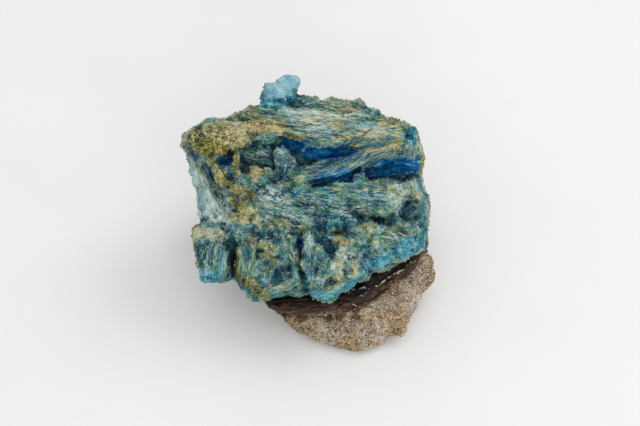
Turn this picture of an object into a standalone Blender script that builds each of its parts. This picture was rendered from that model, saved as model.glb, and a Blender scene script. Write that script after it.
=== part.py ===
"""A hand specimen of chalcanthite: one mass of grown-together blue crystal, the piece of rock
that it grew on, and the brown glassy layer between the two.

Metres, +Z up, -Y to the front. The specimen lies on the flat break under its rock, and the
origin is on that break, below the middle of the whole.
"""

import math
from typing import NamedTuple

import bmesh
import bpy
from mathutils import Matrix, Vector

MM = 0.001

# The crystal mass has one broad face, which leans back from upright. Places on the mass are in
# the face's own frame, in millimetres: across to the right, up the face, and out of it.
FACE_LEAN = math.radians(48)
FACE_CENTRE_HEIGHT = 33

GAP = 0.7 * MM  # left between pieces that touch
FINE_VOXEL = 1.0 * MM
ROCK_VOXEL = 1.4 * MM
LAYER_VOXEL = 0.8 * MM
MASS_TRIANGLES = 5200
ROCK_TRIANGLES = 1500
LAYER_TRIANGLES = 900
BUNDLE_SIDES = 20
GROUND_BLOCK = Vector((200, 200, 100)) * MM  # the block whose top face trims the rock flat


class Lump(NamedTuple):
    """A rounded block: its middle and half sizes in millimetres, its turn in degrees about the
    frame's third axis, and how round it is, from 1 for an ellipsoid down to a box near 0."""

    middle: tuple
    half: tuple
    turn: float = 0
    roundness: float = 0.8


class Bundle(NamedTuple):
    """A sheaf of parallel crystals: its two ends and its radius at each, in millimetres."""

    start: tuple
    end: tuple
    start_radius: float
    end_radius: float


CRYSTAL_LUMPS = (
    Lump((0, 2, -12), (32, 19, 19), 0, 0.7),  # the core
    Lump((-27.2, 20, -5), (11.2, 7.6, 10.5), 9, 0.72),  # upper left corner
    Lump((-29.5, 26, -9), (4.2, 3.2, 5)),  # the knob on that corner
    Lump((-19, 27, -9), (8, 4.6, 8), 16, 0.75),  # shoulder up to the top bundle
    Lump((-26.2, 5.6, -8), (7.8, 12, 12)),  # left flank
    Lump((-29, -7.5, -5), (6.4, 4.2, 8), 0, 0.72),  # crusted ledge above the lower left block
    Lump((-27.2, -14, -6), (6.2, 6.8, 8.5), 0, 0.66),  # lower left block
    Lump((-30.6, -12, -8), (4, 4.4, 5)),  # its bulging side
    Lump((-31, -18.8, -8), (2.2, 3, 4)),  # its lowest tip
    Lump((-18.5, -13.2, -7), (6, 7.6, 10), 0, 0.7),  # wall behind the groove
    Lump((-14, -20.6, -3), (5.8, 5.8, 7.5), -28, 0.75),  # foot of the lower middle lobe
    Lump((-11.4, -13.6, -2), (9.2, 11.6, 9.5), -14, 0.78),  # lower middle lobe
    Lump((-3.4, -12.6, -4), (5, 12.2, 9), 0, 0.7),  # web between the two lobes
    Lump((4.6, -14.8, 1.4), (7.6, 12, 8.6), 6, 0.78),  # lower right lobe
    Lump((11, -17.4, -1), (6.4, 6.4, 7), 34, 0.75),  # what joins that lobe to the tongue
    Lump((19, -8.8, -3), (15.4, 7.6, 10), 20, 0.75),  # tongue below the right block
    Lump((29.4, 0.4, -7), (6.4, 11.6, 11), -3, 0.72),  # right block
    Lump((8, 3.5, 0), (22, 6, 9), -6),  # ropes across the middle
    Lump((-14, 3, -1), (12, 10, 10)),  # middle left
    Lump((27.8, 19.2, -3), (4.8, 7.2, 8), 12, 0.78),  # right end of the top
    Lump((27, 13, -10), (7.6, 6, 8)),  # what closes the long hollow behind
    Lump((-2.6, 33, -13), (3, 2.6, 4)),  # saddle beside the pale block
    Lump((3, 31.4, -14), (8.5, 3.8, 6)),  # back ridge, three knuckles
    Lump((12.4, 30.2, -14), (5.8, 4, 6)),
    Lump((18.6, 27.6, -12), (5, 3.6, 6)),
    Lump((-10, 33.2, -13), (4.8, 5.8, 4.8), 14, 0.7),  # pale block standing at the back
    Lump((-6.8, 38.4, -13), (3.0, 2.6, 3.2), 20, 0.75),  # its tip
)
CRYSTAL_BUNDLES = (
    Bundle((-24, 19.5, 3), (12, 20.5, 2.5), 4.2, 3.6),  # crusted rim over the hollows
    Bundle((-18, 27, -6), (29, 21.5, -1.5), 5.5, 6.2),  # top bundle
    Bundle((-5, 9, 3), (28.5, 18.6, 2), 2.4, 4.4),  # wedge bundle
)
# The bulk behind the face, placed from the ground: right, back and up, in millimetres.
CRYSTAL_BODY = (
    Lump((-0.6, 18, 30), (31, 17, 16.5), 0, 0.62),
    Lump((10, 27, 26), (19, 9.5, 14), -14, 0.66),
    Lump((-17, 24, 25), (14, 10, 11), 20, 0.66),
)
HOLLOWS = (
    Lump((-3, 19.8, 10), (7.5, 3.1, 8), -8, 1),  # under the rim
    Lump((8, 16.2, 9), (9, 2.2, 6), 14, 1),  # between the top and wedge bundles
    Lump((24, 12, 7), (14, 2.7, 9), 4, 1),  # the long hollow that opens to the right
    Lump((7, 9.2, 9), (7, 1.3, 5), 12, 1),  # its narrow inner end
    Lump((-15, 13.6, 10), (7, 4.4, 4.5), 0, 1),  # behind the small pillars
    Lump((-28.2, 11, 5), (2.6, 4.2, 5), -16, 1),  # in the left flank
    Lump((-23.2, -13, 6), (1.5, 7, 6), 2, 1),  # groove beside the lower left block
    Lump((-2.5, -12, 11), (1.4, 9, 5.5), 6, 1),  # groove between the two lobes
    Lump((17.5, 0.6, 10.5), (5, 1.3, 4.5), -6, 1),  # slit below the ropes
    Lump((28.6, 1.8, 5.5), (2.4, 3.8, 3.5), 10, 1),  # pit in the right block
    Lump((29.2, 22.6, 6), (2.4, 2.2, 3), 0, 1),  # pit in the right end
)

# The rock and the layer on it are placed from the ground: right, back and up, in millimetres.
ROCK_HULLS = (
    (  # the main slab, from below its flat break up
        (-9, -11, -3.4), (0, -18, -3.4), (13, -23, -3.4), (23, -19, -3.4), (31, -6, -3.4),
        (30, 12, -3.4), (18, 23, -3.4), (-4, 24, -3.4), (-15, 14, -3.4), (-15, 3, -3.4),
        (-12.4, -13.4, 6), (-4.4, -22, 3), (3, -25.6, 2.4), (10.5, -28, 2.2), (16, -28.8, 2.4),
        (20, -27.4, 3), (24.2, -24, 4), (35, -6, 7), (35, 6, 9), (33, 15, 8),
        (22, 25, 9), (6, 29, 8), (-10, 25, 9), (-19, 13, 8), (-18, 4, 7),
        (-8, -10, 11), (5, -14, 12), (14, -11, 14), (24, -5, 15), (30, 4, 15),
        (26, 15, 15), (10, 20, 16), (-6, 18, 15), (-13, 8, 14),
    ),
    (  # the ragged right-hand corner
        (18, -18, 1), (22, -22, 1.5), (28.2, -26, 3.4), (29, -25, 5.6), (30.4, -19, 3),
        (33, -13.6, 4), (36.4, -8.4, 5), (39.2, -3.6, 8), (37.4, 3, 11), (31, 6, 14),
        (24, -6, 14), (20, -14, 10), (28, 4, 2), (33, -2, 3),
    ),
)
LAYER_LUMPS = (
    Lump((-9.4, -12.2, 8), (5.6, 5.6, 2), 30, 0.9),
    Lump((-4.4, -14.2, 8.8), (7, 5.8, 2.1), 18, 0.9),
    Lump((2.4, -15.4, 9.4), (7.6, 5.8, 2.2), 6, 0.9),
    Lump((8.6, -14.4, 10.6), (7, 5.6, 2.2), -12, 0.9),
    Lump((14.2, -11.6, 12.4), (7, 5.8, 2.3), -28, 0.9),
    Lump((20, -7.8, 14), (7, 5.8, 2.2), -34, 0.9),
    Lump((26, -3.6, 14.6), (6.6, 5.6, 2), -38, 0.9),
    Lump((31.4, 0.6, 13.8), (5, 4.8, 1.7), -44, 0.9),
)

CRYSTAL_ROUGHNESS = ((8.0, 1.8), (2.8, 0.9))  # width of the bumps and their height, millimetres
ROCK_ROUGHNESS = ((11.0, 2.2), (3.4, 0.9))
LAYER_ROUGHNESS = ((6.0, 0.7),)


def clear_scene():
    for obj in list(bpy.data.objects):
        bpy.data.objects.remove(obj, do_unlink=True)


def collection(name):
    made = bpy.data.collections.new(name)
    bpy.context.scene.collection.children.link(made)
    return made


def face_frame():
    """The matrix from the broad face's millimetres to the specimen's metres."""
    up = Vector((0, math.sin(FACE_LEAN), math.cos(FACE_LEAN)))
    out = Vector((0, -math.cos(FACE_LEAN), math.sin(FACE_LEAN)))
    turned = Matrix((Vector((1, 0, 0)), up, out)).transposed().to_4x4()
    return Matrix.Translation((0, 0, FACE_CENTRE_HEIGHT * MM)) @ turned @ Matrix.Scale(MM, 4)


def ground_frame():
    return Matrix.Scale(MM, 4)


def add_lump(shape, lump, frame):
    """Adds a ball whose points are pushed towards a box's corners, then stretched and turned."""
    made = bmesh.ops.create_icosphere(shape, subdivisions=3, radius=1)
    turn = Matrix.Rotation(math.radians(lump.turn), 4, "Z")
    place = frame @ Matrix.Translation(lump.middle) @ turn
    for vert in made["verts"]:
        squared = [math.copysign(abs(c) ** lump.roundness, c) for c in vert.co]
        vert.co = place @ Vector(c * half for c, half in zip(squared, lump.half))


def add_bundle(shape, bundle, frame):
    """Adds a tapered sheaf with blunt ends from the start to the end."""
    start, end = Vector(bundle.start), Vector(bundle.end)
    along = end - start
    lie = along.to_track_quat("Z", "Y").to_matrix().to_4x4()
    bmesh.ops.create_cone(
        shape,
        cap_ends=True,
        segments=BUNDLE_SIDES,
        radius1=bundle.start_radius,
        radius2=bundle.end_radius,
        depth=along.length,
        matrix=frame @ Matrix.Translation((start + end) / 2) @ lie,
    )


def add_hull(shape, points, frame):
    """Adds the broken block whose corners these points are."""
    verts = [shape.verts.new(frame @ Vector(p)) for p in points]
    made = bmesh.ops.convex_hull(shape, input=verts)
    unused = {v for v in made["geom_interior"] if isinstance(v, bmesh.types.BMVert)}
    bmesh.ops.delete(shape, geom=list(unused), context="VERTS")


def to_object(name, shape, home, material=None):
    bmesh.ops.recalc_face_normals(shape, faces=shape.faces)
    mesh = bpy.data.meshes.new(name)
    shape.to_mesh(mesh)
    shape.free()
    obj = bpy.data.objects.new(name, mesh)
    home.objects.link(obj)
    if material:
        mesh.materials.append(material)
    return obj


def helper(obj):
    obj.hide_render = True
    obj.display_type = "WIRE"
    return obj


def finish_modifiers(obj):
    """Gives the object the mesh that its modifiers make, in place of the modifiers."""
    bpy.context.view_layer.update()
    evaluated = obj.evaluated_get(bpy.context.evaluated_depsgraph_get())
    mesh = bpy.data.meshes.new_from_object(evaluated)
    obj.modifiers.clear()
    obj.data = mesh
    mesh.name = obj.name


def fuse(obj, voxel):
    remesh = obj.modifiers.new("fuse", "REMESH")
    remesh.mode = "VOXEL"
    remesh.voxel_size = voxel


def soften(obj, rounds):
    smooth = obj.modifiers.new("soften", "SMOOTH")
    smooth.factor = 0.5
    smooth.iterations = rounds


def roughen(obj, bumps):
    for width, height in bumps:
        texture = bpy.data.textures.new(f"{obj.name}_bumps_{width:g}", "CLOUDS")
        texture.noise_scale = width * MM
        texture.noise_depth = 2
        texture.noise_basis = "IMPROVED_PERLIN"
        displace = obj.modifiers.new("roughen", "DISPLACE")
        displace.texture = texture
        displace.texture_coords = "GLOBAL"
        displace.strength = 2 * height * MM
        displace.mid_level = 0.5


def thin_out(obj, triangles):
    """Lowers the triangle count to about this many, keeping the most where the shape bends."""
    finish_modifiers(obj)
    obj.data.calc_loop_triangles()
    decimate = obj.modifiers.new("thin_out", "DECIMATE")
    decimate.ratio = min(1, triangles / len(obj.data.loop_triangles))
    finish_modifiers(obj)


def cut(obj, cutter):
    boolean = obj.modifiers.new(f"cut_{cutter.name}", "BOOLEAN")
    boolean.operation = "DIFFERENCE"
    boolean.object = cutter
    finish_modifiers(obj)


def swollen(obj, home, by):
    """A cutter that is the object grown outwards by this much."""
    cutter = obj.copy()
    cutter.data = obj.data.copy()
    cutter.name = f"{obj.name}_swollen"
    home.objects.link(helper(cutter))
    grow = cutter.modifiers.new("grow", "DISPLACE")
    grow.strength = by
    grow.mid_level = 0
    finish_modifiers(cutter)
    return cutter


def keep_largest_body(obj):
    """Removes the crumbs that a cut leaves beside the main body."""
    shape = bmesh.new()
    shape.from_mesh(obj.data)
    left = set(shape.verts)
    bodies = []
    while left:
        body, edge = set(), [left.pop()]
        while edge:
            vert = edge.pop()
            body.add(vert)
            near = {e.other_vert(vert) for e in vert.link_edges} & left
            left -= near
            edge.extend(near)
        bodies.append(body)
    largest = max(bodies, key=len)
    crumbs = [v for body in bodies if body is not largest for v in body]
    bmesh.ops.delete(shape, geom=crumbs, context="VERTS")
    shape.to_mesh(obj.data)
    shape.free()


def surface(name, colour, roughness):
    material = bpy.data.materials.new(name)
    material.use_nodes = True
    shader = material.node_tree.nodes["Principled BSDF"]
    shader.inputs["Base Color"].default_value = (*colour, 1)
    shader.inputs["Roughness"].default_value = roughness
    shader.inputs["Metallic"].default_value = 0
    return material


def make_crystal_mass(specimen, cutters):
    shape = bmesh.new()
    for lump in CRYSTAL_LUMPS:
        add_lump(shape, lump, face_frame())
    for bundle in CRYSTAL_BUNDLES:
        add_bundle(shape, bundle, face_frame())
    for lump in CRYSTAL_BODY:
        add_lump(shape, lump, ground_frame())
    mass = to_object(
        "chalcanthite_mass", shape, specimen, surface("blue_crystal", (0.07, 0.28, 0.36), 0.55)
    )
    fuse(mass, FINE_VOXEL)
    finish_modifiers(mass)

    shape = bmesh.new()
    for hollow in HOLLOWS:
        add_lump(shape, hollow, face_frame())
    hollows = helper(to_object("hollows", shape, cutters))
    fuse(hollows, FINE_VOXEL)
    finish_modifiers(hollows)

    cut(mass, hollows)
    fuse(mass, FINE_VOXEL)
    soften(mass, rounds=5)
    roughen(mass, CRYSTAL_ROUGHNESS)
    thin_out(mass, MASS_TRIANGLES)
    keep_largest_body(mass)
    return mass


def make_glassy_layer(specimen, mass_room):
    shape = bmesh.new()
    for lump in LAYER_LUMPS:
        add_lump(shape, lump, ground_frame())
    layer = to_object(
        "brown_glassy_layer", shape, specimen, surface("brown_glass", (0.05, 0.025, 0.012), 0.12)
    )
    fuse(layer, LAYER_VOXEL)
    soften(layer, rounds=14)
    roughen(layer, LAYER_ROUGHNESS)
    thin_out(layer, LAYER_TRIANGLES)
    cut(layer, mass_room)
    keep_largest_body(layer)
    return layer


def make_rock(specimen, cutters, rooms):
    shape = bmesh.new()
    for points in ROCK_HULLS:
        add_hull(shape, points, ground_frame())
    rock = to_object(
        "matrix_rock", shape, specimen, surface("sandstone", (0.27, 0.22, 0.16), 0.9)
    )
    fuse(rock, ROCK_VOXEL)
    soften(rock, rounds=3)
    roughen(rock, ROCK_ROUGHNESS)
    thin_out(rock, ROCK_TRIANGLES)
    for room in rooms:
        cut(rock, room)

    shape = bmesh.new()
    below = Matrix.Translation((0, 0, -GROUND_BLOCK.z / 2)) @ Matrix.Diagonal((*GROUND_BLOCK, 1))
    bmesh.ops.create_cube(shape, size=1, matrix=below)
    cut(rock, helper(to_object("ground_block", shape, cutters)))
    keep_largest_body(rock)
    return rock


def stand_over_origin(pieces):
    """Moves the specimen so that its box stands on the origin, by the middle of its underside."""
    corners = [v.co for piece in pieces for v in piece.data.vertices]
    low = Vector(min(c[k] for c in corners) for k in range(3))
    high = Vector(max(c[k] for c in corners) for k in range(3))
    shift = -Vector(((low.x + high.x) / 2, (low.y + high.y) / 2, low.z))
    for piece in pieces:
        piece.data.transform(Matrix.Translation(shift))
    print("specimen moved by", [round(c / MM, 2) for c in shift], "mm")


def main():
    clear_scene()
    specimen = collection("chalcanthite_specimen")
    cutters = collection("cutters")
    mass = make_crystal_mass(specimen, cutters)
    mass_room = swollen(mass, cutters, GAP)
    layer = make_glassy_layer(specimen, mass_room)
    layer_room = swollen(layer, cutters, GAP)
    rock = make_rock(specimen, cutters, (mass_room, layer_room))
    stand_over_origin([mass, layer, rock])


main()
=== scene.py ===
"""How the chalcanthite hand specimen looks: one fibrous, crusted mass of blue crystal, the sandy
rock that it grew on, and the brown glassy layer between the two."""

import contextlib
import itertools
import math
from typing import NamedTuple

import bmesh
import bpy
import numpy as np
from mathutils import Matrix, Vector
from mathutils.bvhtree import BVHTree


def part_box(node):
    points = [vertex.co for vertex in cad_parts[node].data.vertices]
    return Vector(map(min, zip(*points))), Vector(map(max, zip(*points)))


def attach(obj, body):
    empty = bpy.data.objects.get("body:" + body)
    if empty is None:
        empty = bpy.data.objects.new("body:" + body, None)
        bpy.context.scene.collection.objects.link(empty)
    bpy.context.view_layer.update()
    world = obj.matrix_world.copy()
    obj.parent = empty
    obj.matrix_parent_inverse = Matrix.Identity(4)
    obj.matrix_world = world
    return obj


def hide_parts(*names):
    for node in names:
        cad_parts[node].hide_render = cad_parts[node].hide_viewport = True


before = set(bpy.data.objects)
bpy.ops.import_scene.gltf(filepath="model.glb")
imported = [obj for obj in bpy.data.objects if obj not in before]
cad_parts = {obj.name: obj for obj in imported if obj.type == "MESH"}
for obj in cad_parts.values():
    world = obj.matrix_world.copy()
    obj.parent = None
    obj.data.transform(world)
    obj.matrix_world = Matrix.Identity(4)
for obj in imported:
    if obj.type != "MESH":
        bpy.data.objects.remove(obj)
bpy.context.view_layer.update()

# ---- The blue crystal mass ------------------------------------------------------------------
# Chalcanthite that grew as one mass of fibre bundles, blocks and lobes round deep blue hollows.
# It is 75 mm wide, and its broad face leans back 48 degrees from upright. Places on that face are
# in its own frame, in millimetres: across to the right, up the face, and out of it.

MM = 0.001
FACE_LEAN = math.radians(48)
mass_low, mass_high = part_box("chalcanthite_mass")
FACE_MIDDLE = np.array((mass_low.x + 38.7 * MM, mass_low.y + 23.35 * MM, mass_high.z - 19.8 * MM))
FACE_AXES = np.array((
    (1, 0, 0),
    (0, math.sin(FACE_LEAN), math.cos(FACE_LEAN)),
    (0, -math.cos(FACE_LEAN), math.sin(FACE_LEAN)),
))
OUT = FACE_AXES[2]


def to_face(points):
    return (points - FACE_MIDDLE) @ FACE_AXES.T / MM


def from_face(places):
    return FACE_MIDDLE + np.asarray(places) @ FACE_AXES * MM


def read(items, name, width):
    """One field of every point, edge or facet of a mesh, as rows of this width."""
    flat = np.empty(len(items) * width, np.float32)
    items.foreach_get(name, flat)
    return flat.reshape(-1, width).astype(float)


def skin_of(mesh):
    """The points of a mesh, and the way that it faces at each."""
    return read(mesh.vertices, "co", 3), read(mesh.vertex_normals, "vector", 3)


def set_points(mesh, points):
    mesh.vertices.foreach_set("co", points.astype(np.float32).ravel())
    mesh.update()


def set_masks(mesh, **masks):
    """Stores numbers, one per point or one for all, which the materials read by name."""
    for name, values in masks.items():
        mask = mesh.attributes.new(name, "FLOAT", "POINT")
        mask.data.foreach_set("value", np.broadcast_to(values, len(mesh.vertices)).astype(np.float32))


def ease(low, high, values):
    t = np.clip((values - low) / (high - low), 0, 1)
    return t * t * (3 - 2 * t)


def lattice_values(cells, seed):
    """A random number from 0 to 1 for each whole-number cell, the same on each run."""
    keys = (cells.astype(np.int64) * (73856093, 19349663, 83492791)).sum(-1) + seed * 668265263
    keys = (keys ^ (keys >> 13)) * 1274126177 & 0xFFFFFFFF
    keys = (keys ^ (keys >> 16)) * 2246822519 & 0xFFFFFFFF
    return (keys ^ (keys >> 13)) / 0xFFFFFFFF


def swell(points, size, seed, rounds=1):
    """Smooth lumps of about this size, from -1 to 1, with finer ones added for each round."""
    total, weight = np.zeros(len(points)), 0
    for k in range(rounds):
        p = points / size * 2**k + 31.7 * (seed + k)
        cell = np.floor(p)
        part = p - cell
        part = part * part * (3 - 2 * part)
        for corner in itertools.product((0, 1), repeat=3):
            near = np.where(corner, part, 1 - part).prod(-1)
            total += near * (2 * lattice_values(cell + corner, seed + k) - 1) / 2**k
        weight += 1 / 2**k
    return total / weight


def grains(points, size, seed):
    """Rounded grains of about this size, as a height from 0 to 1."""
    p = points / size
    home = np.floor(p)
    nearest = np.full(len(p), 9.0)
    for step in itertools.product((-1, 0, 1), repeat=3):
        cell = home + step
        middle = cell + np.stack([lattice_values(cell, seed + k) for k in range(3)], -1)
        nearest = np.minimum(nearest, ((p - middle) ** 2).sum(-1))
    return 1 - np.sqrt(nearest).clip(0, 1)


def placed(name, data):
    """A new object in the scene with this mesh, light or camera."""
    thing = bpy.data.objects.new(name, data)
    bpy.context.scene.collection.objects.link(thing)
    return thing


@contextlib.contextmanager
def edited(mesh, result=None):
    """A shape like the mesh, open to editing. The result, where there is one, gets what it became."""
    shape = bmesh.new()
    shape.from_mesh(mesh)
    yield shape
    if result:
        shape.to_mesh(result)
    shape.free()


def copy_of(node, name):
    """A new piece with the mesh of a CAD node, its split corners joined again."""
    mesh = bpy.data.meshes.new(name)
    with edited(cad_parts[node].data, mesh) as shape:
        bmesh.ops.remove_doubles(shape, verts=shape.verts, dist=0.001 * MM)
    return placed(name, mesh)


def settle(piece):
    """Gives the piece the mesh that its modifiers make, in place of the modifiers."""
    bpy.context.view_layer.update()
    evaluated = piece.evaluated_get(bpy.context.evaluated_depsgraph_get())
    mesh = bpy.data.meshes.new_from_object(evaluated)
    piece.modifiers.clear()
    piece.data = mesh
    mesh.name = piece.name


def even_out(piece, spacing, smoothing):
    """Gives the piece an even skin of quads this far apart, in millimetres, and smooths it."""
    skin = piece.modifiers.new("skin", "REMESH")
    skin.mode = "VOXEL"
    skin.voxel_size = spacing * MM
    smooth = piece.modifiers.new("smooth", "SMOOTH")
    smooth.factor = 0.5
    smooth.iterations = smoothing
    settle(piece)


def thin(piece, triangles):
    """Takes triangles out where the piece is flattest, down to this many."""
    corners = read(piece.data.polygons, "loop_total", 1).sum()
    decimate = piece.modifiers.new("thin", "DECIMATE")
    decimate.ratio = min(1, triangles / (corners - 2 * len(piece.data.polygons)))
    settle(piece)


def refine(mesh, wanted):
    """Halves the spacing of the skin where its points are wanted finer."""
    with edited(mesh, mesh) as shape:
        edges = [edge for edge in shape.edges if all(wanted[end.index] for end in edge.verts)]
        bmesh.ops.subdivide_edges(shape, edges=edges, cuts=1, use_grid_fill=True)


class Oval(NamedTuple):
    """An oval on the broad face: its middle, its half sizes, how far it stands out of the face or
    how strong its colour is, and the turn of its first axis in degrees."""

    across: float
    up: float
    half_along: float
    half_wide: float
    amount: float = 1
    turn: float = 0


class Patch(NamedTuple):
    """A many-sided patch of the face: its corners, how far it stands out of the face, and how
    wide the slope round it is."""

    outline: tuple
    height: float
    slope: float = 0.8


class Line(NamedTuple):
    """A crease (below 0) or a ridge along these points of the face, its half width and height."""

    points: tuple
    half_width: float
    height: float


class Rod(NamedTuple):
    """A tapered growth between two places on the face, given with how far each rises over the
    face as it was before its hollows, and the radius at each end."""

    start: tuple
    end: tuple
    start_radius: float
    end_radius: float


def turned(places, degrees):
    """How far along and how far wide the places lie on axes that are turned this far."""
    turn = math.radians(degrees)
    x, y = places[:, 0], places[:, 1]
    return x * math.cos(turn) + y * math.sin(turn), y * math.cos(turn) - x * math.sin(turn)


OVAL_FADES = (0.55, 1.3)
OVAL_REACH = 1.9


def oval_mask(places, oval):
    """1 in the middle of the oval, down to 0 a little outside it."""
    offsets = places[:, :2] - (oval.across, oval.up)
    mask = np.zeros(len(places))
    near = np.abs(offsets).sum(1) < OVAL_REACH * max(oval.half_along, oval.half_wide)
    along, wide = turned(offsets[near], oval.turn)
    mask[near] = 1 - ease(*OVAL_FADES, np.hypot(along / oval.half_along, wide / oval.half_wide))
    return mask


def distance_to_line(places, points):
    nearest = np.full(len(places), 1e9)
    for start, end in zip(points, points[1:]):
        start, run = np.array(start, float), np.subtract(end, start)
        t = np.clip((places[:, :2] - start) @ run / (run @ run), 0, 1)
        nearest = np.minimum(nearest, np.linalg.norm(places[:, :2] - start - t[:, None] * run, axis=1))
    return nearest


def patch_mask(places, patch):
    """1 inside the patch, down to 0 outside the slope round it."""
    corners = np.array(patch.outline)
    mask = np.zeros(len(places))
    near = ((places[:, :2] > corners.min(0) - 1) & (places[:, :2] < corners.max(0) + 1)).all(1)
    places = places[near]
    inside = np.zeros(len(places), bool)
    x, y = places[:, 0], places[:, 1]
    for (x1, y1), (x2, y2) in zip(corners, np.roll(corners, -1, 0)):
        if y1 != y2:
            inside ^= ((y1 > y) != (y2 > y)) & (x < (x2 - x1) * (y - y1) / (y2 - y1) + x1)
    away = distance_to_line(places, [*patch.outline, patch.outline[0]])
    mask[near] = ease(-0.5, 0.5, np.where(inside, away, -away) / patch.slope)
    return mask


def line_mask(places, line):
    """1 along the line, down to 0 beside it."""
    return 1 - ease(0.2, 1.4, distance_to_line(places, line.points) / line.half_width)


PATCHES = (
    Patch((  # the granular crust that overhangs the upper left hollows
        (-39, 20), (-35, 24.3), (-25.5, 27), (-14, 26), (-4.2, 23.4), (0.6, 20.4), (-4.5, 22.4),
        (-9, 23.6), (-12, 21.9), (-19.8, 21.6), (-24.3, 18.3), (-26.7, 18), (-29.7, 15.3), (-35, 19.5),
        (-38, 17.6),
    ), 2.2, 1),
    Patch((  # the top bundle and its rim
        (-21, 30), (-6, 31), (6, 29.6), (18, 27.2), (27, 27), (29, 18.6), (25.5, 16.4), (15.9, 15),
        (11, 19.8), (0.6, 19.8), (-6, 24),
    ), 0.9, 1.2),
    Patch((  # the wedge bundle, which leans in
        (-1, 15.6), (6, 16.5), (12.3, 18.3), (20, 19.4), (26, 18.4), (27, 16.8), (19.8, 15.6),
        (15.9, 14.7), (11.7, 12.3), (6, 11.4), (-1, 10.2),
    ), -1.5, 2),
    Patch((  # the deep blue hollow under that rim
        (-9.9, 22.2), (-7.6, 23.4), (-4.6, 22.4), (-2.1, 20.4), (1.2, 19.3), (12, 19.5), (14.4, 18.8),
        (11, 16.8), (4, 15.8), (0, 15), (-3.9, 12.2), (-4.8, 16), (-7.2, 17.8), (-11.6, 19.4),
    ), -5.4, 1),
    Patch((  # the long hollow that opens to the right
        (-0.8, 9.3), (6, 10.4), (11.7, 11.2), (14.4, 13.2), (17.7, 15.6), (25.5, 16.4), (31, 17.6),
        (36, 16.8), (36, 11.6), (30.6, 10), (27, 9.2), (22.8, 9), (18.3, 9.4), (12.6, 8.8), (6, 7.8),
        (0.2, 7),
    ), -5, 1.2),
    Patch((  # the hollow behind the pillars
        (-28.8, 16.8), (-24.3, 17.8), (-21.6, 19.8), (-19.2, 20.8), (-14.4, 20.6), (-11, 20.6),
        (-8.4, 19.6), (-9.6, 16.4), (-10.4, 12), (-14.4, 12.8), (-18, 13.6), (-20.7, 11.6), (-23.4, 13.6),
        (-27, 13.2),
    ), -4.2),
    Patch((  # the flank's blue recess
        (-38, 18.4), (-35.1, 18.6), (-32, 16.5), (-30, 14.4), (-27.9, 10.5), (-29.4, 9.6), (-31.8, 12),
        (-34.2, 14.1), (-37.4, 16),
    ), -1.2),
    Patch((  # in the right block
        (26.7, 2.1), (28.8, 3.9), (32.1, 3.9), (32.4, -2.7), (28.8, -3), (26.4, -1.5),
    ), -3),
    Patch((  # the slit below the ropes
        (11.6, 1), (14.1, 0.5), (17.4, -0.6), (22.8, -1.6), (22.2, -3), (18, -2.5), (13.8, -2.1),
        (12, -0.9),
    ), -2.6),
    Patch((  # three pits of the lower right lobe
        (2.1, -5.7), (4.8, -6), (7.8, -8.4), (7.6, -11.4), (6.9, -13.8), (4.8, -13.2), (3.6, -10.2),
        (1.8, -8.4),
    ), -2.4, 1.4),
    Patch(((4.5, -19.2), (6.9, -18.6), (8.4, -20.4), (7.2, -22.5), (4.8, -21.9)), -2.4),
    Patch(((0.6, -15), (2.1, -15.6), (2.4, -18), (2.1, -20.4), (0.3, -20.4)), -2.4),
    Patch((  # the lower middle lobe's pit
        (-10.2, -17), (-7.5, -15.4), (-5.7, -14.6), (-4.9, -18), (-6, -21), (-9, -21.8), (-11.8, -20.4),
    ), -2.4, 1.4),
    Patch((  # the groove beside the lower left block
        (-25.2, -9.4), (-23, -9.4), (-21.9, -12), (-21.9, -21), (-24.6, -21), (-24.9, -12),
    ), -3.2, 0.6),
    Patch(((24.3, -8.4), (27, -8.4), (29.1, -10.2), (27, -11.4), (24.6, -10.8)), -1.8),  # in the tongue
    Patch(((27, 24.3), (29.4, 24.9), (31.5, 24), (31.2, 21.3), (28.8, 21.3)), -3.2),
)
# Where the outline is drawn out or in, and how far across and up the face.
SHIFTS = (
    (Oval(-21.6, 32, 9, 4.6, turn=24), (0, -1.3)),  # the shoulder falls away
    (Oval(6, -27, 6, 5), (-1.2, 0)),  # the tip of the lower right lobe
    (Oval(13, -23, 5, 3.4, turn=30), (-0.4, 1)),
    (Oval(29, -13, 11, 4.5, turn=26), (0, -2)),  # the tongue hangs over the glass
    (Oval(35, -9.6, 2, 3), (0.9, 0)),
    (Oval(35.6, 4.4, 2, 3), (-0.6, 0)),  # the right side
    (Oval(34.8, 12.6, 2, 2.4), (-1, 0)),
    (Oval(33.8, 18.6, 2.4, 3.2), (1, 0)),
    (Oval(30, 27.4, 4, 2), (-0.4, -0.9)),
    (Oval(1.8, 35.4, 3.4, 2), (0, -1.2)),  # beside the block at the back
    (Oval(-11, 40, 5, 4), (-0.6, 0.4)),
    (Oval(-4.6, 40.6, 2, 2), (0.6, 0.5)),
    (Oval(-3.2, 36.8, 1.6, 1.8), (-1, 0)),
    (Oval(-17, 31.4, 2.6, 1.6), (0, 0.9)),
    (Oval(-37.6, 16, 2.6, 3.2), (0.9, 0)),  # the left side
    (Oval(-34.6, 10.2, 2.8, 3), (-2.1, 0)),
    (Oval(-34, -14, 2.4, 3), (-0.9, 0)),
    (Oval(-22.2, -22.2, 2.6, 2), (-0.8, -1.7)),
)
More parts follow.
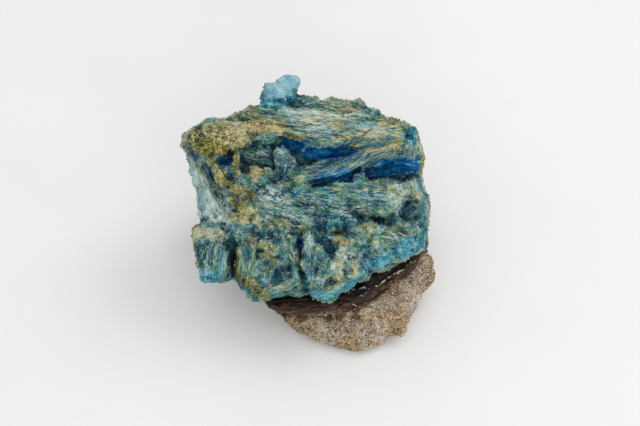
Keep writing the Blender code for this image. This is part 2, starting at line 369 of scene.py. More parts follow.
HOLLOWS = (
    Oval(-9, 13.4, 1.2, 3.2, -2, 24),  # beside the smooth teal body
    Oval(-18, -2.4, 1.6, 1.1, -1.8),  # small pits
    Oval(-13, -4, 1.2, 0.9, -1.4),
    Oval(-22, 8, 1.3, 1, -1.4, 30),
    Oval(-15.4, 6, 1, 1.6, -1.4),
    Oval(12, 2.8, 1.8, 1.2, -2.2),
    Oval(-7.2, 26.2, 3, 0.6, -1.8, -6),  # splits between the top fibres
    Oval(8, 24.4, 3.4, 0.6, -1.8, -4),
    Oval(17.7, 26, 4.4, 0.45, -1.8),
    Oval(20.6, 20.7, 2.6, 0.6, -1.6, 4),
    Oval(14, 21.6, 3, 0.5, -1.2, 6),
    Oval(-12, 33, 3, 1.4, -1),
)
CREASES = (
    Line(((-2.6, -5.4), (-3.4, -9), (-3, -15), (-0.4, -24)), 1.1, -4),  # between the lobes
    Line(((2, -5), (10, -6.2), (17.4, -8.2)), 0.8, -2),  # under the lowest rope
    Line(((-19.8, -10), (-18.4, -14), (-19, -21)), 0.6, -1.1),
    Line(((-16.4, -8), (-15.2, -14), (-16.4, -20)), 0.7, -1.1),
    Line(((-17, -21.6), (-12, -24), (-8, -24.4), (-3.4, -22.2)), 0.6, -1.4),  # over its lower rim
    Line(((-36, 1), (-30, -3.6), (-25, -5)), 0.9, -1.4),  # above the lower left block
    Line(((-34.6, -10.4), (-30, -9.6), (-26, -11)), 0.6, -1.2),
    Line(((-29.6, -10), (-29.4, -20)), 0.5, -1),
    Line(((-27.2, -10), (-27, -20)), 0.4, -0.9),
    Line(((23, -4), (24.4, -9), (29, -8)), 0.8, -1.2),
    Line(((-26, 24.4), (-18, 28.4), (-6, 31.4), (4, 31), (20, 28.2)), 0.7, -1.6),  # below the back ridge
    Line(((-16, 30), (-10, 30.6), (-3, 31.4)), 0.8, -1.6),
    Line(((20.4, -3), (24, -1), (25.6, 5), (24, 8)), 0.6, -1),
    Line(((-9, 8), (-4, 6.4), (2, 6), (9, 6.6)), 0.5, -0.9),
    Line(((-10, 3.4), (-2, 1.8), (8, 1.4), (16, 3)), 0.5, -1),
    Line(((-11, -1), (-4, -2.6), (3, -3), (10, -4.6)), 0.5, -1),
)
RIDGES = (
    Line(((-14, 24.4), (-7, 24.2), (-3, 21.9), (1.5, 20.4)), 0.9, 0.9),  # rim over the hollow
    Line(((-1, -7), (0, -12), (1, -16), (2, -22), (5, -25.4), (9, -24.6)), 1.4, 1),
    Line(((-20.8, -10), (-19.9, -15), (-20.4, -20), (-15, -25)), 0.7, 1),
    Line(((-17.4, -9), (-16.8, -15), (-17.6, -20)), 0.6, 0.8),
    Line(((-12, -8.6), (-9, -12), (-7, -14.4), (-12, -17), (-13.4, -21)), 0.9, 1),
    Line(((-4.6, -12), (-4, -17), (-3.4, -21.6), (-8, -24.8), (-14, -25.4)), 0.8, 1.1),
    Line(((-6, 4.2), (3, 3.4), (10, 4.6), (18, 6.4), (24, 4)), 1.2, 0.9),  # ropes
    Line(((-8, 0.4), (2, -0.6), (8, -1.6), (11, -2.4)), 1.2, 0.9),
    Line(((-4, 7.2), (4, 7.2), (12, 8.6), (20, 8.4)), 1, 0.8),
    Line(((13.4, -4.4), (18, -4.8), (22, -5.4)), 1.1, 1.4),  # under the slit
    Line(((26, 4.6), (29, 5.6), (32, 4.8)), 0.9, 0.8),
    Line(((24.8, 6), (25.2, 1), (25.4, -4), (29, -6)), 1.1, 1),
    Line(((9, -7.4), (12, -9.4), (13.6, -13)), 1, 0.9),
    Line(((-34.6, -8.4), (-30, -8), (-26, -9)), 1.2, 0.9),
)
GROWTHS = (
    Rod((-31.4, 25, -1.4), (-29, 25.8, -1.4), 2.1, 2.3),  # the green bulge behind the crust
    Rod((-22.2, 19.4, 0.8), (-21.6, 10.4, -1.2), 0.8, 1),  # the pillars in the left hollows
    Rod((-30, 15.6, 0.4), (-25.8, 8, 0.8), 0.8, 1.2),
    Rod((-26.4, 13.6, -1), (-23.6, 11, 0), 0.9, 1.2),
    Rod((-16.8, 12.6, 0), (-14.8, 11.4, 0.6), 1.5, 1.3),  # the ochre knots beside them
    Rod((-12.4, 12, 0.4), (-11.6, 10.2, 0.8), 1.3, 1),
    Rod((-22.6, 5, 0.6), (-18.4, 2.8, 0.8), 2.2, 1.8),
    Rod((-18, 0.8, 0.4), (-15.6, 1.6, 0.4), 1.4, 1.2),
    Rod((-8.4, 17.4, -0.6), (-8.2, 13.4, -0.4), 2.3, 2.1),  # the smooth teal body
    Rod((-2.2, 6.8, 0.4), (-2.9, 10.6, 1.6), 2.3, 1.7),  # the two green tufts
    Rod((-2.9, 10.6, 1.6), (-3.6, 12.8, 2), 1.4, 0.8),
    Rod((14.6, 9.4, 0.2), (15.6, 11.2, 0.6), 1.8, 1.1),
    Rod((-2.2, 18.2, -2.4), (-1, 19.8, -1), 0.5, 0.7),  # small crystals in the rim's hollow
    Rod((-16.4, -22, 0), (-11, -23.6, 0.2), 1.4, 1.3),  # the lobe's lower rim
    Rod((2, -22.6, 0.2), (5.8, -25.6, 0), 1.5, 1.4),
    Rod((24, -5.4, 0), (28, -8, 0.2), 1.2, 1.2),  # the pale ridge above the tongue
    Rod((24.4, -9.4, 0.4), (28.6, -10.4, 0.2), 0.7, 0.6),
)


FACE_FADES_AT_DEPTH = (-26, -18)
FACE_FADES_AT_TILT = (-0.75, -0.2)


def facing(places, normals):
    """1 on the broad face, down to 0 on what lies far behind it or is turned away from it."""
    return ease(*FACE_FADES_AT_DEPTH, places[:, 2]) * ease(*FACE_FADES_AT_TILT, normals @ OUT)


def ragged(places, seed):
    """The places pushed about a little, so that nothing drawn on the face has a smooth edge."""
    pushed = places.copy()
    for k in range(2):
        pushed[:, k] += 0.8 * swell(places, 3.2, seed + k, 2) + 0.4 * swell(places, 1.1, seed + 4 + k)
    return pushed


def shifts_of(places, shifts):
    """How far each point moves by these shifts."""
    return sum(oval_mask(places, oval)[:, None] * (shift @ FACE_AXES[:2]) * MM for oval, shift in shifts)


def sculpt_broad_face(mesh):
    """Gives the face its patches, hollows, creases and ridges, and every side its lumps."""
    points, normals = skin_of(mesh)
    places = to_face(points)
    drawn = ragged(places, 3)
    face = facing(places, normals) * ease(-0.1, 0.4, normals @ OUT)
    points += shifts_of(places, SHIFTS)
    height = sum(patch_mask(drawn, patch) * patch.height for patch in PATCHES)
    height += sum(oval_mask(drawn, oval) * oval.amount for oval in HOLLOWS)
    height += sum(line_mask(drawn, line) * line.height for line in CREASES + RIDGES)
    points += (face * height)[:, None] * OUT * MM
    lumps = 0.8 * swell(places, 6, 11, 2) + 1.7 * (np.abs(swell(places, 3.6, 12, 2)) - 0.24)
    set_points(mesh, points + lumps[:, None] * normals * MM)


OVER_THE_FACE = 60


def foot_of(tree, across, up):
    """Where the face is met, looking straight at this place on it, or None beside it."""
    return tree.ray_cast(Vector(from_face((across, up, OVER_THE_FACE))), -Vector(OUT))[0]


def add_growths(piece, before):
    """Adds the growths, standing over the face as it was before; the next skin joins them."""
    with edited(piece.data, piece.data) as shape:
        for rod in GROWTHS:
            start, end = (
                foot_of(before, across, up) + Vector(OUT) * rise * MM
                for across, up, rise in (rod.start, rod.end)
            )
            lie = (end - start).to_track_quat("Z", "Y").to_matrix().to_4x4()
            for place, radius in ((start, rod.start_radius), (end, rod.end_radius)):
                ball = Matrix.Translation(place)
                bmesh.ops.create_icosphere(shape, subdivisions=2, radius=radius * MM, matrix=ball)
            bmesh.ops.create_cone(
                shape,
                cap_ends=True,
                segments=12,
                radius1=rod.start_radius * MM,
                radius2=rod.end_radius * MM,
                depth=(end - start).length,
                matrix=Matrix.Translation((start + end) / 2) @ lie,
            )


class Stretch(NamedTuple):
    """A stretch of parallel fibres: the oval that it fills, with the fibres along its first axis
    and its amount as the height of their ridges, the length and width of one fibre, how many
    loose fibres lie on it, and how many times longer than wide its streaks of colour are."""

    oval: Oval
    length: float
    width: float
    count: int
    streak: float


FIBRES = (
    Stretch(Oval(3, 26.2, 22, 4.2, 0.5, -8), 11, 0.9, 430, 7),  # the top bundle
    Stretch(Oval(20, 22.4, 8, 4.4, 0.55, 5), 10, 0.9, 210, 8),
    Stretch(Oval(11, 15.2, 16, 3.4, 0.6, 20), 12, 0.6, 520, 10),  # the wedge bundle
    Stretch(Oval(-6, 2, 10, 6, 0.35, -14), 3.6, 0.8, 150, 2.4),  # the ropes across the middle
    Stretch(Oval(12, 4.4, 14, 5.4, 0.4, -8), 4, 0.8, 270, 3),
    Stretch(Oval(-32, 8, 11, 4, 0.12, -66), 9, 0.5, 110, 9),  # the left flank
    Stretch(Oval(-28.6, -16, 6, 4.6, 0.5, 86), 6, 0.9, 130, 4),  # the lower left block
    Stretch(Oval(-19.4, -15.6, 6.6, 2.6, 0.5, 82), 7, 0.9, 130, 5),  # the lower middle lobe
    Stretch(Oval(-8.4, -23, 7, 2.8, 0.45, 24), 6, 0.9, 110, 5),
    Stretch(Oval(-4.4, -15, 6.6, 1.5, 0.4, 96), 5, 0.9, 70, 4),
    Stretch(Oval(28, -10.4, 7.4, 3.4, 0.4, -30), 3.6, 0.8, 80, 3),  # the tongue
    Stretch(Oval(-14, 15.4, 6, 3.4, 0.2, -22), 3.4, 0.5, 130, 3),  # behind the pillars
    Stretch(Oval(6, 31.6, 12, 2.4, 0.3, -12), 6, 0.8, 110, 4),  # the back ridge
    Stretch(Oval(-0.4, -13, 8, 2, 0.3, 88), 5, 0.9, 80, 4),
    Stretch(Oval(8, -23, 7, 2, 0.3, 22), 5, 0.9, 70, 4),
    Stretch(Oval(29, -1, 4, 3.4, 0.2, 48), 3.6, 0.6, 60, 3),  # the right block
    Stretch(Oval(26, 12.4, 8, 2.4, 0.3, 8), 6, 0.7, 90, 4),  # the floor of the long hollow
    Stretch(Oval(31, 8, 4.6, 3, 0.3, -64), 5, 0.9, 60, 4),
)
STREAK_BEHIND = 5
LEAST_FIBROUS = 0.15
RUNS_APART = 50


def fibre_shares(places, face):
    """The number of each stretch, the stretch, and how far each place belongs to it."""
    uneven = ragged(places, 80)
    for k, stretch in enumerate(FIBRES):
        yield k, stretch, face * oval_mask(uneven, stretch.oval)


def combed_places(places, face):
    """Places in which the grain runs along the first axis and is drawn out in the fibrous
    stretches, and how fibrous each place is."""
    combed = places.copy()
    most = np.full(len(places), LEAST_FIBROUS)
    for k, stretch, here in fibre_shares(places, face):
        along, wide = turned(places, stretch.oval.turn)
        drawn = np.stack([along / stretch.streak, wide, places[:, 2]], -1) + RUNS_APART * k
        combed = np.where((here > most)[:, None], drawn, combed)
        most = np.maximum(most, here)
    behind = places / (STREAK_BEHIND, 1, 1) - RUNS_APART
    combed = np.where((face < 0.3)[:, None], behind, combed)
    return combed, np.maximum(most - LEAST_FIBROUS, 0) / (1 - LEAST_FIBROUS)


def strands(places, direction, length, width, seed):
    """Rounded fibres of about this length and width, in millimetres, with sharp gaps between."""
    along, wide = turned(places, direction)
    bend = 0.6 * width * swell(places, 4 * width, seed + 5)
    drawn = np.stack([along / length, (wide + bend) / width, places[:, 2] / (1.6 * width)], -1)
    coarse = np.abs(swell(drawn, 1.6, seed))
    fine = np.abs(swell(drawn, 0.7, seed + 1))
    return 1.5 * coarse + 0.7 * fine - 0.75


class HeightMap(NamedTuple):
    """How far the face stands out on an even grid across and up it, in millimetres, the same
    averaged over a few millimetres round each place, and how much of what was averaged is crystal:
    1 inside the face, and down to a half at its outline."""

    heights: np.ndarray
    average: np.ndarray
    cover: np.ndarray


MAP_LOW = (-41, -31)
MAP_HIGH = (41, 46)
MAP_STEP = 0.4
OFF_THE_FACE = -30
AVERAGED_OVER = 2.4
INSIDE_OUTLINE = (0.56, 0.9)


def softened(grid, reach):
    """The grid, averaged over this many cells round each by a bell curve."""
    bell = np.exp(-0.5 * (np.arange(-3 * reach, 3 * reach + 1) / reach) ** 2)
    for _ in range(2):
        grid = np.apply_along_axis(np.convolve, 0, grid, bell / bell.sum(), "same").T
    return grid


def height_map(tree):
    across, up = (np.arange(low, high, MAP_STEP) for low, high in zip(MAP_LOW, MAP_HIGH))
    heights = np.full((len(across), len(up)), float(OFF_THE_FACE))
    for i, j in np.ndindex(heights.shape):
        hit = foot_of(tree, across[i], up[j])
        if hit is not None:
            heights[i, j] = to_face(np.array(hit))[2]
    on_face = heights > OFF_THE_FACE / 2
    reach = round(AVERAGED_OVER / MAP_STEP)
    cover = softened(on_face * 1.0, reach)
    average = softened(heights * on_face, reach) / np.maximum(cover, 0.01)
    return HeightMap(heights, average, cover)


def read_map(grid, places):
    """The grid's value at these places across and up the face."""
    spot = (places[..., :2] - np.array(MAP_LOW)) / MAP_STEP
    cell = np.clip(np.floor(spot).astype(int), 0, np.array(grid.shape) - 2)
    part = np.clip(spot - cell, 0, 1)
    total = 0
    for corner in itertools.product((0, 1), repeat=2):
        share = np.where(corner, part, 1 - part).prod(-1)
        total = total + share * grid[tuple(np.moveaxis(cell + corner, -1, 0))]
    return total


def sunk_below(places):
    """How far each place lies below the face round it, and how near the face's outline it is."""
    sunk = read_map(face_map.average, places) - places[:, 2]
    return sunk, 1 - ease(*INSIDE_OUTLINE, read_map(face_map.cover, places))


# Where each finish shows on the broad face: ovals, each with its values in the order of Oval.
COLOURS = {
    "ochre": (
        (-27, 21.6, 11.5, 5.4, 1.1, 6),  # the thick crust of the upper left corner
        (-15, 25.4, 9, 3.2, 1, 6), (-20, 29, 7, 2.6, 0.6, 20), (-5.7, 23, 7, 1.1, 0.9, -14),
        (-8, 29.6, 9, 1.8, 0.46), (8.6, 25.4, 4.4, 1.6, 0.62, -10), (15.5, 22.8, 2.4, 1.4, 0.62),
        (9, 21.8, 3.6, 1, 0.66), (3, 28.4, 3.4, 1, 0.5, -10), (24, 26.8, 5, 2.2, 0.7),
        (19.6, 23, 5.6, 3, 0.52, 8), (26, 21, 2, 5, 0.72), (21.5, 18.8, 6, 1.8, 0.6, 14),
        (15, 17.4, 4, 0.7, 0.46, 20), (3.9, 34, 3.4, 2.4, 0.54), (12.9, 32.4, 3.6, 2.4, 0.56),
        (8.9, 30.4, 5, 1.6, 0.56), (-22, 14.4, 1.2, 5, 0.9), (-27.8, 11.8, 5, 0.9, 0.9, -60),
        (-25.6, 9.6, 3, 4, 0.76, 60), (-20.4, 4.4, 5, 4.6, 0.74), (-15.6, 12, 4, 1.8, 0.8),
        (-14.4, 8.1, 5, 3, 0.5), (-20, -1, 6, 3, 0.72), (-36.6, 13, 1, 6, 0.55),
        (-33.4, -7.2, 5, 2.4, 0.58), (-26.8, -8, 3, 2.4, 0.5), (-21.4, -14.6, 0.9, 7, 0.72, 2),
        (-16.4, -22.4, 6.5, 2, 0.8, -36), (-15.5, -9, 6, 3.2, 0.56), (-12, -14.6, 3.6, 5, 0.46, -20),
        (-7.5, -22.6, 3.4, 1.4, 0.5), (10.6, -15, 6.4, 5, 0.52, 30), (9.4, -18.6, 6, 2.4, 0.6, 24),
        (9.6, -8.6, 4, 1.8, 0.7), (22.5, 5.8, 7, 3, 0.44, -30), (30, 5, 4.4, 1.6, 0.48),
        (26, -5.6, 3.6, 1.8, 0.66, -30), (17, -4.6, 5, 1.4, 0.66), (14, 4, 12, 3, 0.34, -8),
        (35, 2, 1, 7, 0.5), (-8, -5, 12, 5, 0.46), (-2.4, -15, 0.9, 7, 0.6, 4), (20, 0, 8, 5, 0.42),
        (31.4, 20, 3, 6, 0.42),
    ),
    "pale": (
        (2.4, 29.2, 12, 2, 1, -8), (0.6, 26.4, 8.5, 2.6, 0.9, -8), (16, 24, 9, 3, 0.52),
        (10, 32, 10, 2, 0.8, -16), (-14.5, 15.4, 6, 3.4, 0.6, -20), (28, 5, 6, 8, 0.49),
        (-34.4, 6, 4.6, 11, 1.3, 12), (-29.4, -1, 7, 6, 1.2), (-0.9, -9.6, 2.4, 4, 0.6, 4),
        (10.5, -14, 6, 4.6, 0.64, 20), (-3, -1, 9, 2.6, 0.44, -8), (15, 17.2, 9, 1.2, 0.36, 20),
        (12, 0.6, 10, 2.4, 0.26, -10), (-11, 4, 6, 4.4, 0.56, -20), (3.4, -21, 4, 3, 0.4, 20),
        (-21.4, 10, 2, 3, 0.4), (-16, 15.6, 5, 3, 0.4),
    ),
    "olive": (
        (-29, 19.2, 6.4, 2.4, 1, -20), (-29.6, 16, 1.6, 3, 0.9), (-22.2, 14.4, 1.2, 5, 0.8),
        (-27.8, 11.8, 5, 0.9, 0.8, -60), (-20.4, 4.4, 5, 4, 0.6), (-24.6, 9, 2, 3, 0.6, 60),
        (-16.4, -23, 7, 1.6, 0.7, -36), (-12, -14.6, 3, 5, 0.6, -20),
    ),
    "ice": (
        (-6.8, 40.2, 8, 3.2, 1.3, 14),  # the pale block at the back
        (-10, 37, 5.6, 3, 0.85), (-13.2, 36.2, 2.8, 2.4, 0.56), (-33.6, 6, 4.6, 10, 0.42, 12),
        (-32, -19, 3, 2, 0.5), (33, -11.8, 2.6, 1, 0.5, 20), (-9.4, 4, 1.4, 1, 0.4),
        (-0.6, -8, 1.4, 1.4, 0.5), (24, -6.4, 4, 1, 0.5, -30),
    ),
    "cyan": (
        (-10.4, 34.6, 6, 3.4, 1.25), (-13.6, 33.8, 2.6, 3.2, 1.6), (30, -10.6, 6.4, 4, 0.92, 26),
        (21, -14.4, 6, 2, 1, 24), (12.6, -21.4, 5, 1.7, 0.9, 42), (5, -24.4, 7, 1.9, 0.84, 4),
        (-0.6, -21, 1.6, 6, 0.6, 14), (-31.4, -19.8, 4.4, 3.4, 1), (-27, -14, 1.6, 6, 0.6),
        (34.4, -4, 1.6, 6.4, 0.6), (30, 22.6, 2.4, 2.8, 1.3), (14, 31.4, 8, 2, 0.45, -16),
        (-8.4, 15.4, 2.8, 3.8, 0.56), (4, -2, 20, 2.4, 0.5, -7), (2, 6, 12, 2, 0.44), (30, 12, 5, 2, 0.6),
        (27, 6, 7, 4, 0.46), (-0.3, -11, 1.6, 5, 0.62), (0, 27, 10, 2.4, 0.46, -8), (0, -16, 1.2, 5, 0.6),
    ),
    # Dark teal, mostly in the pits, creases, splits and hollows and over the wedge, where it is painted
    # shade; a little of it everywhere and over the ropes as a darker tone of the crystal.
    "shade_and_dark_teal": (
        (3, 13.4, 9, 2.8, 0.95, 16), (-18, 17, 6.4, 3, 0.5), (-11.4, 18, 3, 3, 0.76),
        (-32, 14, 1.6, 5.6, 0.56, 42), (29.4, 0, 3, 3.6, 0.8), (4.8, -9.2, 2.4, 4, 0.78, 30),
        (1.5, -18, 1.2, 3.2, 0.9), (6.4, -20.6, 1.6, 1.8, 0.66), (-7.6, -18.6, 3, 3, 0.82, 30),
        (-7, 4.6, 6, 2, 0.76, -10), (-20.6, 8.4, 2, 1.6, 0.8), (-26.4, -7.6, 1.6, 3, 0.8),
        (24.4, -9, 3, 1.4, 0.7, -30), (-18, -3, 2.4, 1.4, 0.9), (-8, 34, 3, 2, 0.66),
        (-8.4, 15.8, 3.2, 4.4, 1.1), (28.6, 23, 2.6, 2, 0.7), (-2.6, 13.4, 4.4, 3.4, 0.95, 30),
        (-34, -2.6, 3, 1, 0.7), (-2, -17, 0.9, 5, 0.9, 14), (-3.2, -9, 1.3, 5, 0.8),
        (10, 13.8, 13, 2.8, 0.84, 18), (10, 2, 4, 1, 0.75, -8), (-31, -13.4, 4.6, 4.4, 0.74),
        (2, 2, 15, 5, 0.66, -8), (-1, -14, 3, 8, 0.5), (-9, -7, 6, 3, 0.6), (26, -9.4, 4, 1.4, 0.5, -10),
        (8, 25, 12, 0.5, 0.6, -6), (20, 24.4, 6, 0.5, 0.6, 4), (17, 21.4, 7, 0.5, 0.7, 6),
        (12, 28.2, 8, 0.5, 0.6, -8), (26, 11, 9, 1.8, 0.85, 4), (-12.6, 6, 2.6, 1.6, 0.76),
        (20, 2.4, 2, 1.4, 0.7), (3.6, -3.4, 3, 0.9, 0.7), (-15.4, -12, 1, 4, 0.62),
    ),
    # Deep blue, the crystal's own colour in its hollows. The narrow ovals along the splits between the top
    # fibres also darken those splits as painted shade.
    "deep": (
        (-4.9, 20.6, 5, 3, 1.1, -10), (5.5, 17.6, 10, 2.4, 1.05), (-8.6, 35, 3, 1.6, 0.66),
        (13, 11, 14, 2, 1.05, 5), (27, 14, 10, 2.8, 1.05, 2), (1.5, 8.6, 7, 1.4, 0.7, 8),
        (-25.4, 15.6, 2.6, 1.8, 0.9), (-7.2, 26.2, 3.6, 0.7, 0.66, -6), (8, 24.4, 4, 0.7, 0.6, -4),
        (17.7, 26, 5, 0.6, 0.56), (20.6, 20.7, 3, 0.6, 0.56, 4), (-3.2, -9, 1.3, 5, 0.5),
    ),
    "green": (
        (-2.8, 9.4, 2.6, 4, 1.4), (15.2, 10, 3, 2, 1.2), (-10, -24.6, 7, 1.4, 0.95, 4),
        (4.4, -23.4, 6, 3, 0.72), (-30, 27.4, 3.6, 2.2, 1.3, 12), (-5.4, -9.4, 2.2, 2.4, 0.9),
        (24, 0.4, 4, 4, 0.66), (-5, -18, 2, 6, 0.7, 10), (29.2, 24, 3.4, 3, 1), (-16, -16, 7, 7, 0.6),
        (4, 4, 14, 5, 0.48), (-4, -6, 14, 4, 0.55), (14, 32, 9, 2.4, 1.05, -18), (4, 33.8, 4.4, 2.6, 0.9),
        (-15, 17, 6, 3, 0.5), (8, -13, 8, 7, 0.5), (18, -9, 6, 3, 0.7, 20),
    ),
    # Nearly black brown, mostly in the groove beside the lower left block, the slit below the ropes, the
    # crease under the lowest rope and a void in the long hollow: painted shade in these recesses.
    "brown": (
        (-23.2, -15.4, 1.2, 5.4, 0.9), (17.4, -1.4, 5, 1.1, 0.6, -8), (10.5, -6, 6, 0.8, 0.6, -4),
        (14, 12.2, 2, 1.2, 0.55), (10, -20, 5, 1, 0.3, 40),
    ),
}
EVERYWHERE = {"ochre": 0.3, "pale": 0.2, "cyan": 0.2, "shade_and_dark_teal": 0.2, "green": 0.36}
SPREAD_BEHIND = {
    "ochre": 0.8, "olive": 0.4, "pale": 0.7, "ice": 0.2, "cyan": 0.5, "shade_and_dark_teal": 0.5, "green": 0.7, "brown": 0.1,
}
SPREAD_ON_RIM = {"ochre": 0.84, "pale": 0.8, "cyan": 0.3, "green": 0.7}
DEEP_ENDS = (34.8, 36.8)


def finish_masks(points, normals):
    """Where each finish lies on every side, from 0 to 1."""
    places = to_face(points)
    drawn = ragged(places, 20)
    face = facing(places, normals)
    upper_rim = sunk_below(places)[1] * ease(-22, -12, places[:, 1])
    masks = {}
    for k, (name, ovals) in enumerate(COLOURS.items()):
        least = EVERYWHERE.get(name, 0)
        drawn_there = np.full(len(places), float(least))
        for oval in itertools.starmap(Oval, ovals):
            drawn_there = np.maximum(drawn_there, oval_mask(drawn, oval) * oval.amount)
        patchy = 0.45 + 0.55 * ease(-0.2, 0.5, swell(places, 7, 40 + k, 2))
        elsewhere = np.maximum(patchy * SPREAD_BEHIND.get(name, 0), least)
        drawn_there = np.maximum(drawn_there, upper_rim * patchy * SPREAD_ON_RIM.get(name, 0))
        masks[name] = face * drawn_there + (1 - face) * elsewhere
    masks["deep"] *= 1 - ease(*DEEP_ENDS, places[:, 0])
    vivid = 0.9 * np.maximum(ease(0.5, 1.1, masks["cyan"]), ease(0.5, 1, masks["ice"]))
    masks["ochre"] *= 1 - 0.6 * ease(0.9, 1.25, masks["pale"])
    for name in ("ochre", "pale", "green"):
        masks[name] *= 1 - vivid
    bright = np.maximum(ease(0.4, 0.9, masks["ochre"]), ease(0.3, 0.8, masks["ice"]))
    bright = np.maximum(bright, ease(0.9, 1.3, masks["green"]))
    for name in ("shade_and_dark_teal", "deep"):
        masks[name] *= 1 - bright
    return masks


def roughen_crystal(mesh, masks):
    """The small relief: fibres where the crystal is fibrous, and grains where it is crusted."""
    points, normals = skin_of(mesh)
    places = to_face(points)
    face = facing(places, normals)
    relief = 0.45 * swell(places, 1.5, 60, 3) + 0.8 * (0.3 - np.abs(swell(places, 2.4, 61, 2)))
    relief += 0.4 * (grains(places, 1.1, 62) - 0.5)
    fibrous, combed = np.zeros((2, len(points)))
    for k, stretch, here in fibre_shares(places, face):
        won = here > combed
        ridges = strands(places[won], stretch.oval.turn, stretch.length, stretch.width, 70 + k)
        fibrous[won] = stretch.oval.amount * ridges
        combed[won] = here[won]
    relief = relief * (1 - 0.5 * combed) + combed * fibrous
    behind = (1 - face) * (1 - masks["ochre"])
    relief += behind * 0.5 * strands(places, 12, 9, 1.4, 90)
    crust = 0.8 * grains(places, 1.5, 95) + 0.4 * grains(places, 0.9, 96) + 0.8 * swell(places, 3.4, 97)
    crusted = np.clip(masks["ochre"] * (1 - 0.7 * combed), 0, 1)
    relief = relief * (1 - 0.7 * crusted) + crusted * (crust - 0.45)
    relief *= 1 - 0.45 * ease(0.5, 1, masks["deep"])
    relief *= 1 - 0.5 * ease(0.4, 0.9, masks["ice"])
    set_points(mesh, points + relief[:, None] * normals * MM)
    # The material makes places lighter the prouder they stand and darker in dips: painted light and shade.
    set_masks(mesh, proud=0.5 + 0.9 * relief - 0.3 * crusted)


DEEPEST_SHADE = (-6.5, -4)


def store_finish(mesh, points, normals, number, masks):
    """Stores what the crystal material reads: the masks, the grain's run, a number for each
    loose grain, and how far the place lies in a hollow or, below 0, stands out of the face."""
    places = to_face(points)
    face = facing(places, normals)
    run = mesh.attributes.new("grain_run", "FLOAT_VECTOR", "POINT")
    run.data.foreach_set("vector", combed_places(places, face)[0].astype(np.float32).ravel())
    hollow, rim = sunk_below(places)
    hollow *= face * (1 - rim) * ease(*DEEPEST_SHADE, places[:, 2])
    set_masks(mesh, **masks, number=number, hollow=hollow)


def tree_of(mesh):
    """What finds the places on a mesh that are nearest, or that a ray meets."""
    with edited(mesh) as shape:
        return BVHTree.FromBMesh(shape)


def unit(vectors):
    return vectors / np.maximum(np.linalg.norm(vectors, axis=-1, keepdims=True), 1e-12)


def set_map(mesh, corners):
    """Lays the corners of every facet out flat, for a finish that is baked to an image."""
    layer = mesh.uv_layers.new(name="OFBake")
    layer.uv.foreach_set("vector", corners.astype(np.float32).ravel())


class View(NamedTuple):
    """A side that the surface is laid out flat from, in the face's frame, how much its facets
    prefer it, and its square of the map: the low corner and the width."""

    toward: tuple
    weight: float
    corner: tuple
    width: float


VIEWS = (
    View((0, 0, 1), 1.8, (0, 0), 0.74),
    View((-0.9, 0, 0.43), 1, (0.75, 0), 0.25),
    View((0.9, 0, 0.43), 1, (0.75, 0.25), 0.25),
    View((0, -0.9, 0.43), 1, (0.75, 0.5), 0.25),
    View((0, 0.9, 0.43), 1, (0.75, 0.75), 0.25),
    View((0, 0, -1), 1, (0, 0.75), 0.25),
    View((-0.7, 0, -0.7), 1, (0.25, 0.75), 0.25),
    View((0.7, 0, -0.7), 1, (0.5, 0.75), 0.25),
)
VIEWS_TRIED = 4
VIEW_MARGIN = 0.003
CLEAR_OF_SKIN = 0.03


def lay_out(mesh):
    """Lays each facet out in the view that it faces best, of those that it isn't hidden from."""
    middles, normals = read(mesh.polygons, "center", 3), read(mesh.polygons, "normal", 3)
    toward = unit(np.array([view.toward for view in VIEWS])) @ FACE_AXES
    level = normals @ toward.T * np.array([view.weight for view in VIEWS])
    ranked = np.argsort(-level, axis=1)[:, :VIEWS_TRIED]
    chosen = ranked[:, 0].copy()
    starts = middles + CLEAR_OF_SKIN * MM * normals
    directions = [Vector(direction) for direction in toward]
    tree = tree_of(mesh)
    for facet, (start, best) in enumerate(zip(starts.tolist(), ranked.tolist())):
        for view in best:
            if level[facet, view] <= 0:
                break
            if tree.ray_cast(Vector(start), directions[view])[0] is None:
                chosen[facet] = view
                break
    corner_view = np.repeat(chosen, read(mesh.polygons, "loop_total", 1)[:, 0].astype(int))
    place = skin_of(mesh)[0][read(mesh.loops, "vertex_index", 1)[:, 0].astype(int)]
    spots = np.zeros((len(place), 2))
    for k, view in enumerate(VIEWS):
        here = corner_view == k
        right = unit(np.cross(FACE_AXES[1], toward[k]))
        flat = np.stack([place[here] @ right, place[here] @ np.cross(toward[k], right)], -1)
        span = np.ptp(flat, axis=0).max()
        inside = (flat - flat.min(0)) / span * (view.width - 2 * VIEW_MARGIN) + VIEW_MARGIN
        spots[here] = inside + view.corner
    set_map(mesh, spots)


crystal = copy_of("chalcanthite_mass", "blue_crystal_mass")
even_out(crystal, spacing=0.55, smoothing=5)
unsculpted = tree_of(crystal.data)
sculpt_broad_face(crystal.data)
add_growths(crystal, unsculpted)
even_out(crystal, spacing=0.64, smoothing=1)
face_map = height_map(tree_of(crystal.data))
points, normals = skin_of(crystal.data)
refine(crystal.data, facing(to_face(points), normals) * (normals @ OUT > 0) > 0.5)
roughen_crystal(crystal.data, finish_masks(*skin_of(crystal.data)))
thin(crystal, triangles=194_000)
face_map = height_map(tree_of(crystal.data))
points, normals = skin_of(crystal.data)
store_finish(crystal.data, points, normals, 0.5, finish_masks(points, normals))


def feed(tree, node, inputs):
    """Gives a node its inputs, each a plain value or another node's output."""
    for name, value in inputs.items():
        if isinstance(value, bpy.types.NodeSocket):
            tree.links.new(value, node.inputs[name])
        else:
            node.inputs[name].default_value = value


def add_node(tree, kind, inputs, **settings):
    """A new node of this kind, with its inputs and settings."""
    node = tree.nodes.new(kind)
    for name, value in settings.items():
        setattr(node, name, value)
    feed(tree, node, inputs)
    return node


def calculate(tree, operation, *values):
    return add_node(tree, "ShaderNodeMath", dict(enumerate(values)), operation=operation).outputs[0]


